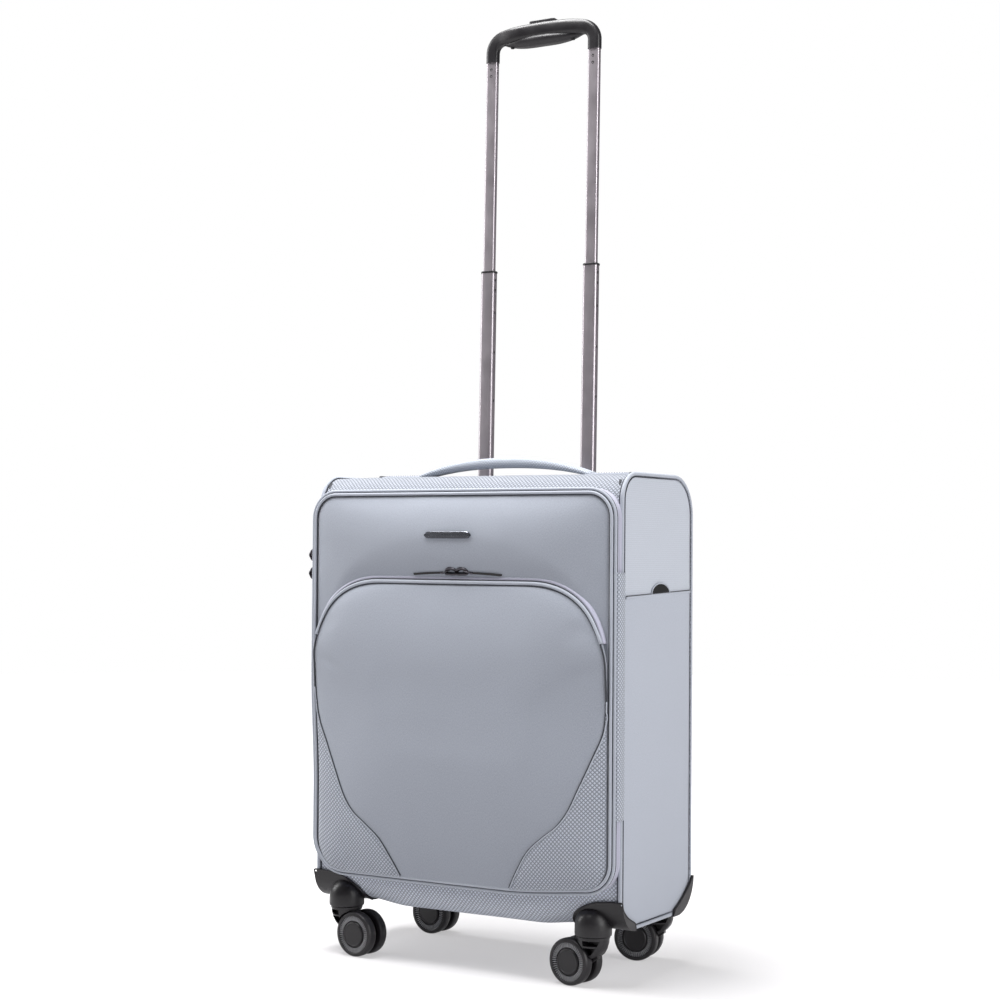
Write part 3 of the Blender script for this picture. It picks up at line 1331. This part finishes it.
def grip():
    """One moulding: two legs that sleeve the tubes, sweeping into a crowned bar."""
    half, leg_low, corner, shoulder, crown = 69.0, cad("grip_shell")[0].z + 0.1, 17.0, 1053.0, 2.6
    centre_z = shoulder + corner
    path = [(-half, leg_low + (shoulder - leg_low) * k / 5) for k in range(5)]
    path += [(x, z) for x, z in arc(-half + corner, shoulder, corner, corner, 180, 90, 12)]
    bar = half - corner
    path += [(-bar + 2 * bar * k / 24, centre_z + crown * (1 - (2 * k / 24 - 1) ** 2)) for k in range(1, 24)]
    path += [(x, z) for x, z in arc(half - corner, shoulder, corner, corner, 90, 0, 12)]
    path += [(half, leg_low + (shoulder - leg_low) * k / 5) for k in range(4, -1, -1)]
    sections = []
    total = len(path) - 1
    for i, (x, z) in enumerate(path):
        before, after = path[max(0, i - 1)], path[min(total, i + 1)]
        tangent = Vector((after[0] - before[0], after[1] - before[1])).normalized()
        normal = Vector((-tangent.y, tangent.x))
        middle = smooth(half, half - 34, abs(x))
        thick = 7.9 + 1.5 * middle
        depth = 5.7 + 4.3 * middle
        section = []
        for a, b in superellipse(thick, depth, 3.0, 32):
            section.append(leaned(x + normal.x * a, TROLLEY_Y + b, z + normal.y * a))
        sections.append(section)
    mesh = loft("grip", sections)
    well = superellipse(17.5, 5.8, 8, 40)
    tool = prism("tool", well, lambda u, v, w: leaned(u, TROLLEY_Y + v, w), 1077, 1100)
    piece("grip_moulding", carve(mesh, [tool]), "trolley_grip", "black", ["grip_shell"], angle=40)

    button = []
    top = cad("release_button")[1].z
    for w, inset in ((top - 5.0, 0.4), (top - 4.6, 0.0), (top - 0.5, 0.0), (top, 0.5)):
        button.append([leaned(u, TROLLEY_Y + v, w) for u, v in superellipse(17.1 - inset, 5.4 - inset, 9, 48)])
    piece("button_cap", loft("button", button), "release_button", "black", ["release_button"],
          angle=35)

    cover = []
    for k in range(31):
        t = -1 + 2 * k / 30
        x = 53.0 * t
        top = centre_z - 8.4 + crown * (1 - (x / bar) ** 2)
        drop = 0.4 + 9.6 * (1 - abs(t) ** 3.0)
        wide = 2.2 + 6.8 * (1 - abs(t) ** 2.6)
        section = [(-wide, top + 1.5), (-wide, top - drop * 0.35), (-wide * 0.72, top - drop * 0.85),
                   (-wide * 0.3, top - drop), (wide * 0.3, top - drop), (wide * 0.72, top - drop * 0.85),
                   (wide, top - drop * 0.35), (wide, top + 1.5)]
        cover.append([leaned(x, TROLLEY_Y + u, z) for u, z in section])
    piece("grip_underside", loft("cover", cover), "trolley_grip", "black", ["grip_cover"])
    for side in (-1, 1):
        x = side * 41
        z = centre_z - 8.4 + crown * (1 - (x / bar) ** 2) - 5.5
        place = Matrix.Translation(leaned(x, TROLLEY_Y - 1.5, z)) @ Matrix.Rotation(math.pi, 4, "X")
        profile = [(0, -1.5), (2.4, -1.5), (2.4, 0.9), (2.0, 1.4), (1.0, 1.4), (0.9, 0.6), (0, 0.6)]
        piece(f"grip_screw_{'right' if side > 0 else 'left'}", lathe("screw", profile, place, 24),
              "trolley_grip", "hole", angle=35)


trolley()
grip()

# ------------------------------------------------------------------ zip sliders


def slider(name, origin, along, out, body, replaced, size=1.0):
    """Slider body: a flared plate with a high bridge for the puller's ring."""
    side = along.cross(out).normalized()

    def put(a, b, c):
        return origin + (along * a + side * b + out * c) * size * MM

    outline = [(-6, -2.2), (-4.5, -3.0), (1.5, -3.6), (5.2, -3.1), (6.2, -1.6), (6.2, 1.6), (5.2, 3.1), (1.5, 3.6),
               (-4.5, 3.0), (-6, 2.2)]
    plate = prism("plate", even(outline, 1.0), put, 0.2, 1.7, 0.45)
    path = curved([(-4.4, 1.0), (-4.2, 2.8), (-2.4, 4.2), (0.4, 4.5), (3.2, 3.7), (4.5, 2.2), (4.6, 1.0)], 0.9)
    bridge = sweep("bridge", [put(a, 0, c) for a, c in path], superellipse(1.35 * size, 0.7 * size, 3, 12), side)
    piece(name, join(name, [plate, bridge]), body, "gunmetal", replaced, angle=40)


def puller(name, root, along, out, flap, size, body, node, material):
    """Round link through the slider's bridge, a cap, then a tab of the given length and width."""
    length, width = size
    side = along.cross(out).normalized()

    def put(a, b, c):
        return root + (along * a + side * b + out * c) * MM

    link = [put(a, b, 2.6 - 0.28 * a) for a, b in superellipse(4.6, 3.0, 2.4, 24)]
    cap = block("cap", (3.4, -width * 0.42, -0.3), (8.0, width * 0.42, 2.1), 0.6, 2,
                Matrix.Translation(root) @ Matrix([along, side, out]).transposed().to_4x4())
    metal_parts = [sweep("link", link, circle(0.8, 10), out, True), cap]
    piece(f"{name}_link", join("link", metal_parts), body, "gunmetal", angle=40)
    outline = even(arc(length - width / 2, 0, width / 2, width / 2, -90, 90, 10)
                   + [(6.0, width * 0.4), (6.0, -width * 0.4)], 1.0)

    def droop(a, b, c):
        return put(a, b, c - flap * (a / length) ** 2)

    piece(f"{name}_tab", prism(name, outline, droop, 0.0, 1.9, 0.35), body, material, [node], angle=40)
    if material == "leather":
        dot(f"{name}_rivet", droop(length - 4.5, 0, 1.85), out, 1.5, body, "steel")


def zippers():
    for tag, side in (("left", -1), ("right", 1)):
        low, high = cad(f"pocket_slider_{tag}")
        y = (low.y + high.y) / 2 - MID_Y
        tilt = (UP * 0.8 - BACK * 0.6).normalized()
        centre = at((low.x + high.x) / 2, y - 1.6, low.z + 0.6)
        slider(f"pocket_slider_body_{tag}", centre, RIGHT * -side, tilt, f"pocket_slider_{tag}",
               [f"pocket_slider_{tag}"], 1.4)
        p_low, p_high = cad(f"pocket_puller_{tag}")
        edge = p_high.x if side < 0 else p_low.x
        lie = (UP * 0.93 - BACK * 0.37).normalized()
        puller(f"pocket_pull_{tag}", at(edge, y - 1.8, p_low.z + 0.6), RIGHT * side, lie, 2.0,
               (p_high.x - p_low.x, 6.6), f"pocket_puller_{tag}", f"pocket_puller_{tag}", "leather")
    for tag in ("lower", "upper"):
        low, high = cad(f"main_slider_{tag}")
        centre = at(high.x - 2.6, PARTING_Y, (low.z + high.z) / 2)
        slider(f"main_slider_body_{tag}", centre, UP * (1 if tag == "lower" else -1), -RIGHT, f"main_slider_{tag}",
               [f"main_slider_{tag}"], 1.2)
        p_low, p_high = cad(f"main_puller_{tag}")
        root = at(p_high.x - 4.4, p_low.y - MID_Y - 1.5, (p_low.z + p_high.z) / 2)
        splay = (BACK * 0.94 - RIGHT * 0.3).normalized()
        normal = (-RIGHT * 0.94 - BACK * 0.3).normalized()
        puller(f"main_pull_{tag}", root, splay, normal, 4.0, (p_high.y - p_low.y, 8.0), f"main_puller_{tag}",
               f"main_puller_{tag}", "gunmetal")


zippers()

# ------------------------------------------------------------------ casters


GUARD = 2.9
WING_TOP = [(199.4, 92), (190, 91.7), (181, 91.3), (171, 90.6), (160, 88), (150, 83.5), (142, 78), (137.5, 73),
            (134.8, 67), (133.6, 61), (133, 54)]
FLANK_EDGE = {-1: [(86.4, 92), (84.6, 85), (80, 80), (73.3, 74.8), (65, 70.8), (58, 67.4), (55.8, 64), (55.2, 57)],
              1: [(83.5, 97), (79.5, 92), (74, 87.5), (67, 82.5), (58, 76.5), (49, 71.2), (40, 66.6), (35.5, 60)]}


def guard_outline(offset, corner):
    loop = arc(CASE_FRONT - offset + corner + offset, CASE_BOTTOM + corner, corner + offset, corner + offset,
               180, 270, 14)
    return [(CASE_FRONT - offset, 150)] + loop + [(-20, CASE_BOTTOM - offset), (-20, 150)]


def guard_y(z, corner):
    """Depth of the guard's front skin at height z."""
    drop = CASE_BOTTOM + corner - z
    if drop <= 0:
        return CASE_FRONT - GUARD
    return CASE_FRONT + corner - math.sqrt(max(1.0, (corner + GUARD) ** 2 - drop ** 2))


def caster_housing(name, sx, sy, node):
    """Corner guard and swivel cup as one moulding, drawn at the front right and mirrored."""
    corner = CASE_RADII[0] if sy < 0 else CASE_RADII[1]

    def put_x(u, v, w):
        return Vector((w, u, v)) * MM

    def put_y(u, v, w):
        return Vector((u, w, v)) * MM

    outer = prism("outer", guard_outline(GUARD, corner), put_x, 105, SIDE_X + 3.9)
    inner = prism("inner", guard_outline(0.2, corner), put_x, 100, SIDE_X + 1.2)
    skin = carve(outer, [inner])
    top = curved(WING_TOP, 2.0)
    wing = [(SIDE_X + 0.9, 20), (SIDE_X + 0.9, 92)] + top[3:] + [(133, 20)]
    front = carve(skin.copy(), [prism("wing", wing, put_y, CASE_FRONT - 12, CASE_FRONT + corner + 6)], "INTERSECT")
    flank_edge = [(-y, z) for y, z in curved(FLANK_EDGE[sy], 2.0)]
    flank = [(-100, 20), (-100, 100)] + flank_edge + [(flank_edge[-1][0], 20)]
    side = carve(skin, [prism("side", flank, put_x, 190, SIDE_X + 12)], "INTERSECT")
    lip = [put_y(x, z, guard_y(z, corner) + 0.1) for x, z in top]
    lip = sweep("lip", lip[1:-3], circle(0.95, 8), -BACK)
    rim = sweep("rim", [put_x(y, z, SIDE_X + 3.5) for y, z in flank_edge[:-1]], circle(0.9, 8), RIGHT)
    place = Matrix.Translation(Vector((CASTER_AXIS[0], -CASTER_AXIS[1], 0)) * MM)
    cup = lathe("cup", [(0, 56), (16.8, 56), (17.2, 54.4), (18.9, 53.9), (19.7, 54.6)] + CUP_DOME, place, 72)
    solid = join("housing", [carve(cup, [front, side], "UNION"), lip, rim])
    mirror = Matrix.Diagonal((sx, -sy, 1, 1))
    solid.transform(Matrix.Translation(Vector((0, MID_Y, 0)) * MM) @ mirror)
    if sx * -sy < 0:
        solid.flip_normals()
    piece(name, solid, "case", "black", [node], angle=42)


def caster_place(tag):
    sx, sy, turn = CASTERS[tag]
    return (Matrix.Translation(at(sx * CASTER_AXIS[0], sy * CASTER_AXIS[1], 0))
            @ Matrix.Rotation(math.radians(turn), 4, "Z"))


def fork(tag):
    """Swivel fork: a disc under the cup, a ribbed heel and a web down to the axle."""
    place = caster_place(tag)

    def put_y(u, v, w):
        return place @ (Vector((u, w, v)) * MM)

    disc = lathe("disc", [(0, 51.3), (16.6, 51.3), (18.0, 51.7), (18.0, 53.2), (16.2, 53.5), (0, 53.5)], place, 64)
    heel = [(-17.3, 52.4), (-17.1, 48), (-15.8, 43.5), (-13, 39), (-9, 34.5), (-4, 30.8), (2, 28), (8, 30), (12, 40),
            (18, 52.4)]
    skirt = lathe("skirt", [(0, 25.5), (4.5, 27), (9, 30.5), (12.5, 35), (15.2, 40.5), (16.9, 46.5), (17.4, 52), (0, 52)],
                  place, 64)
    skirt = carve(skirt, [prism("heel", even(heel, 3), put_y, -22, 22)], "INTERSECT")
    wheel_room = lathe("room", [(0, -22), (WHEEL_R + 1.1, -22), (WHEEL_R + 1.1, 22), (0, 22)],
                       place @ Matrix.Translation(Vector((CASTER_TRAIL, 0, WHEEL_R)) * MM)
                       @ Matrix.Rotation(math.pi / 2, 4, "X"), 64)
    pockets = []
    for s in (-1, 1):
        near, far = sorted((s * 5.0, s * 25.0))
        for pocket in ([(-12.6, 44.6), (2, 44.6), (2, 50.2), (-14.8, 50.2)],
                       [(-5.2, 35), (2, 33), (2, 42.8), (-11.6, 42.8)]):
            pockets.append(prism("hollow", pocket, put_y, near, far))
    skirt = carve(skirt, [wheel_room] + pockets)
    boss = arc(CASTER_TRAIL, WHEEL_R, 8.2, 8.2, -125, 38, 14)
    web = [(-8, 52.5), (-8, 31), (2, 24)] + boss + [(15.5, 52.5)]
    plate = prism("web", web, put_y, -3.2, 3.2)
    body = carve(disc, [skirt, plate], "UNION")
    piece(f"fork_{tag}", body, f"fork_{tag}", "black", [f"caster_fork_{tag}"], angle=38)
    axis = place @ Matrix.Translation(Vector((CASTER_TRAIL, 0, WHEEL_R)) * MM) @ Matrix.Rotation(math.pi / 2, 4, "X")
    pin = lathe("pin", [(0, -13.2), (2.3, -13.2), (2.5, -12.9), (2.5, 12.9), (2.3, 13.2), (0, 13.2)], axis, 32)
    piece(f"axle_{tag}", pin, f"fork_{tag}", "steel", [f"caster_axle_{tag}"], angle=35)


def wheel(tag, letter, side):
    """Wheel with a raised hub cap, a ring of fine radial ribs and a rounded tread."""
    axis = (caster_place(tag) @ Matrix.Translation(Vector((CASTER_TRAIL, 0, WHEEL_R)) * MM)
            @ Matrix.Rotation(-side * math.pi / 2, 4, "X"))
    r = WHEEL_R
    body = f"wheel_{tag}_{letter}"
    rim = [(2.58, 13.4), (2.58, 4.0), (6.5, 4.0), (7.0, 4.6), (19.5, 4.6), (20.2, 4.0), (r - 2.0, 4.0),
           (r - 0.7, 4.5), (r - 0.1, 5.8), (r, 8.0), (r, 12.0), (r - 0.3, 13.8), (r - 1.2, 15.0), (r - 2.6, 15.5),
           (20.8, 15.6), (20.3, 15.2), (20.0, 12.4), (14.6, 12.4), (14.2, 12.4), (0, 12.4)]
    tyre = lathe("tyre", rim, axis, 96)
    ribs, faces = [], []
    count = 52
    for k in range(count):
        angle = 2 * math.pi * k / count
        start = len(ribs)
        for radius in (15.4, 20.2):
            for half, height in ((-0.4, 12.9), (-0.22, 15.1), (0.22, 15.1), (0.4, 12.9)):
                swing = angle + half / radius
                ribs.append(axis @ (Vector((radius * math.cos(swing), radius * math.sin(swing), height)) * MM))
        faces += [tuple(start + i for i in quad) for quad in
                  ((0, 1, 5, 4), (1, 2, 6, 5), (2, 3, 7, 6), (3, 0, 4, 7), (3, 2, 1, 0), (4, 5, 6, 7))]
    piece(body + "_ribs", fix_normals(mesh_of("ribs", ribs, faces)), body, "rib", angle=32)
    piece(body + "_tyre", tyre, body, "wheel", [body], angle=32)
    cap = lathe("cap", [(0, 12.0), (13.4, 12.0), (13.5, 15.1), (13.1, 15.7), (12.5, 16.0), (11.9, 16.05),
                        (11.6, 15.75), (0, 15.9)], axis, 64)
    piece(body + "_cap", cap, body, "black", angle=32)


for tag, (sx, sy, _) in CASTERS.items():
    caster_housing(f"housing_{tag}", sx, sy, f"caster_housing_{tag}")
    fork(tag)
    wheel(tag, "a", 1)
    wheel(tag, "b", -1)

# ------------------------------------------------------------------ inside


def lining_sheet():
    """Lining: one wrap over the floor, back and roof, plus a sheet down each side."""
    low, high = cad("lining")
    y0, y1 = low.y - MID_Y, high.y - MID_Y
    outline = arc(y0 + 24, low.z + 24, 23, 23, 180, 270, 8) + arc(y1 - 20, low.z + 20, 19, 19, 270, 360, 8)
    outline += arc(y1 - 24, high.z - 24, 23, 23, 0, 90, 8) + arc(y0 + 25, high.z - 25, 24, 24, 90, 180, 8)
    outline = [(y0 + 1, 118)] + outline + [(y0 + 1, 509)]
    outline = even(outline, 6, closed=False)
    columns = 50
    half = high.x - 1
    points = []
    for y, z in outline:
        for c in range(columns):
            x = -half + 2 * half * c / (columns - 1)
            ruck = 1.3 * wobble(x, y, z, 38, 9.0) + 0.6 * wobble(x, y, z, 15, 2.0)
            cy = (y0 + y1) / 2
            cz = (low.z + high.z) / 2
            inward = Vector((cy - y, (cz - z) * 0.3)).normalized() * (1.2 + ruck)
            points.append(at(x, y + inward.x, z + inward.y))
    wrap = mesh_of("wrap", points, grid_faces(len(outline), columns))
    sheets = [wrap]
    for side in (-1, 1):
        points = []
        rows = 60
        for r in range(rows):
            z = low.z + 2 + (high.z - low.z - 4) * r / (rows - 1)
            for c in range(18):
                y = y0 + 2 + (y1 - y0 - 4) * c / 17
                x = side * (half - 0.8 - 1.0 * abs(wobble(y, z, side * 50, 30, 3.0)))
                points.append(at(x, y, z))
        sheets.append(mesh_of("side", points, grid_faces(rows, 18)))
    mesh = join("lining", sheets)
    bezel_low = cad("trolley_bezel")[0]
    tools = [cube_tool((bezel_low.x - 2, bezel_low.y - MID_Y - 2, bezel_low.z - 2), (-bezel_low.x + 2, 200, 700))]
    obj = piece("lining_cloth", mesh, "case", "lining", ["lining"])
    thicken(obj, 0.8)
    return obj


def wheel_wells():
    """Cloth-covered boxes over the swivel cups and the trolley housing, inside the compartment."""
    for tag, (sx, sy, _) in CASTERS.items():
        xs = sorted((sx * 137, sx * 188))
        ys = sorted((sy * 55, sy * (78 if sy < 0 else 52.0)))
        if sy > 0:
            continue
        mesh = block("well", (xs[0], ys[0], 69), (xs[1], ys[1], 96), 6, 4)
        piece(f"wheel_well_{tag}", mesh, "case", "lining")
    low, high = cad("trolley_bezel")
    mesh = block("hump", (low.x - 1, low.y - MID_Y - 1.5, low.z - 2), (high.x + 1, low.y - MID_Y + 2.5, 534), 1.8, 3)
    piece("trolley_hump", mesh, "case", "lining")


def straps():
    """Packing straps, gently bowed, with a centre buckle."""
    for tag, side in (("left", -1), ("right", 1)):
        low, high = cad(f"packing_strap_{tag}")
        middle = (low.x + high.x) / 2
        path = []
        for k in range(41):
            t = k / 40
            z = low.z + (high.z - low.z) * t
            bow = 2.4 * math.sin(math.pi * t) + 0.5 * math.sin(5 * math.pi * t)
            path.append(at(middle, high.y - MID_Y - 1.6 - bow, z))
        mesh = sweep("strap", path, plank(29, 1.3), -BACK)
        piece(f"strap_{tag}", mesh, "case", "webbing", [f"packing_strap_{tag}"])
        for k, z in enumerate((low.z + 4, high.z - 4)):
            plate = block("tab", (middle - 17, high.y - MID_Y - 2.6, z - 9), (middle + 17, high.y - MID_Y + 0.4, z + 9), 1)
            piece(f"strap_tab_{tag}_{k}", plate, "case", "webbing", angle=40)
    low, high = cad("strap_buckle")
    y1 = high.y - MID_Y
    parts = [block("body", (-26, y1 - 6.0, low.z), (26, y1, high.z), 2.2),
             block("prong", (-44, y1 - 4.4, low.z + 3), (-27, y1 - 1.4, high.z - 3), 1.2),
             block("ladder", (27, y1 - 4.4, low.z + 2), (46, y1 - 1.4, high.z - 2), 1.2),
             block("rib", (-14, y1 - 6.8, low.z + 4), (14, y1 - 5.6, high.z - 4), 0.6)]
    piece("buckle", join("buckle", parts), "case", "black", ["strap_buckle"], angle=35)
    for side in (-1, 1):
        path = [at(side * x, y1 - 2.9 + 0.02 * (x - 44), (low.z + high.z) / 2) for x in range(44, 79, 3)]
        piece(f"strap_cross_{'right' if side > 0 else 'left'}", sweep("cross", path, plank(18, 1.2), -BACK), "case",
              "webbing")


def lid_inside():
    """Lid lining with a zipped divider pocket."""
    low, high = cad("lid_lining")
    y = high.y - MID_Y
    zs = levels(low.z + 1, high.z - 1, 27, 27, 9)

    def half(z):
        for distance in (low.z + 28 - z, z - high.z + 28):
            if distance > 0:
                t = min(1.0, distance / 27)
                return high.x - 1 - 27 * (1 - math.sqrt(max(0.0, 1 - t * t)))
        return high.x - 1

    mesh, _, _ = pad("lid_lining", zs, half, 60, lambda x, z: y - 1.0,
                     lambda x, z: y + 0.9 + 0.8 * wobble(x, 0, z, 45, 5.5))
    piece("lid_lining_cloth", mesh, "lid", "lining", ["lid_lining"])
    line = [at(x, y + 2.0, 440 - 0.0005 * x * x) for x in range(-150, 151, 6)]
    piece("divider_zip", sweep("zip", line, plank(9, 1.0, 0.3), BACK), "lid", "tape")
    piece("divider_zip_line", sweep("zip", [p + BACK * 0.7 * MM for p in line], circle(0.8, 6), BACK), "lid", "seam")


lining_sheet()
wheel_wells()
straps()
lid_inside()

# ------------------------------------------------------------------ CAD nodes that keep their own shape

for node, material in (("trolley_bezel", "black"), ("trolley_foot_bracket", "black"), ("back_board", "board"),
                       ("trolley_outer_tube_left", "tube"), ("trolley_outer_tube_right", "tube")):
    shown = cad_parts[node]
    shown.data.materials.clear()
    shown.data.materials.append(M[material])

for side in (-1, 1):
    for k, z in enumerate((512, 527)):
        low, high = cad("trolley_bezel")
        centre = at(side * 89.5, high.y - MID_Y - 0.1, z) if k == 0 else at(side * 89.5, 66, high.z - 0.1)
        dot(f"bezel_screw_{'right' if side > 0 else 'left'}_{k}", centre, BACK if k == 0 else UP, 2.4, "case", "steel")

# ------------------------------------------------------------------ stage, light, camera


def stage():
    """Pale floor that fades to plain white away from the case."""
    points = [(5.0 * x, 5.0 * y, 0) for x, y in superellipse(1, 1, 2, 64)]
    mesh = mesh_of("studio_floor", points, [tuple(range(64))])
    g = Graph("studio_floor_paint")
    vector, _ = g.coords("Object")
    reach = g.node("ShaderNodeVectorMath", operation="LENGTH")
    g.feed(reach.inputs[0], vector)
    fade = g.ramp(reach.outputs["Value"], FLOOR_FADE[0], FLOOR_FADE[1])
    tint = g.mix(g.noise(vector, 0.002, 2.0), (0.40, 0.395, 0.40, 1), (0.42, 0.415, 0.42, 1))
    glow = g.math("ADD", g.math("MULTIPLY", fade, 1 - FLOOR_GLOW), FLOOR_GLOW)
    seen = g.node("ShaderNodeLightPath").outputs["Is Camera Ray"]
    glow = g.math("MULTIPLY", glow, g.math("ADD", g.math("MULTIPLY", seen, 1 - FLOOR_BOUNCE), FLOOR_BOUNCE))
    g.finish(Base_Color=tint, Roughness=0.9, Emission_Color=(1.0, 0.985, 0.995, 1), Emission_Strength=glow)
    floor = bpy.data.objects.new("studio_floor", mesh)
    mesh.materials.append(g.material)
    bpy.context.scene.collection.objects.link(floor)


def white_world():
    """The camera sees plain white; the case is lit by a dimmer version of it."""
    world = bpy.data.worlds.new("studio")
    bpy.context.scene.world = world
    world.use_nodes = True
    tree = world.node_tree
    dim = tree.nodes["Background"]
    dim.inputs["Color"].default_value = (1, 1, 1, 1)
    dim.inputs["Strength"].default_value = ROOM_LIGHT
    seen = tree.nodes.new("ShaderNodeBackground")
    seen.inputs["Color"].default_value = (1, 1, 1, 1)
    mix = tree.nodes.new("ShaderNodeMixShader")
    path = tree.nodes.new("ShaderNodeLightPath")
    tree.links.new(path.outputs["Is Camera Ray"], mix.inputs["Fac"])
    tree.links.new(dim.outputs[0], mix.inputs[1])
    tree.links.new(seen.outputs[0], mix.inputs[2])
    tree.links.new(mix.outputs[0], tree.nodes["World Output"].inputs["Surface"])


def area(name, position, target, size, power, tint=(1, 1, 1)):
    data = bpy.data.lights.new(name, "AREA")
    data.shape = "RECTANGLE"
    data.size, data.size_y = size
    data.energy = power
    data.color = tint
    obj = bpy.data.objects.new(name, data)
    bpy.context.scene.collection.objects.link(obj)
    obj.location = position
    obj.rotation_euler = (Vector(target) - Vector(position)).to_track_quat("-Z", "Y").to_euler()


def camera():
    yaw, pitch, roll = math.radians(31.0), math.radians(1.5), math.radians(0.42)
    forward = Vector((-math.sin(yaw) * math.cos(pitch), math.cos(yaw) * math.cos(pitch), math.sin(pitch)))
    right = Vector((math.cos(yaw), math.sin(yaw), 0))
    up = right.cross(forward)
    r = right * math.cos(roll) + up * math.sin(roll)
    u = -right * math.sin(roll) + up * math.cos(roll)
    data = bpy.data.cameras.new("camera")
    data.sensor_width = 36
    data.lens = 68.83
    obj = bpy.data.objects.new("camera", data)
    bpy.context.scene.collection.objects.link(obj)
    obj.matrix_world = Matrix.Translation(at(1115, -1865.3, 458.6)) @ Matrix([r, u, -forward]).transposed().to_4x4()
    bpy.context.scene.camera = obj


stage()
area("side_right", (2.6, -0.3, 1.3), (0, 0, 0.35), (1.4, 2.2), 56)
area("side_left", (-2.3, -0.6, 1.4), (0, 0, 0.35), (0.9, 1.8), 36)
area("top", (-0.3, -0.28, 2.3), (0, -0.1, 0.3), (1.5, 0.9), 84)
camera()
white_world()
bpy.context.scene.view_settings.view_transform = "Standard"
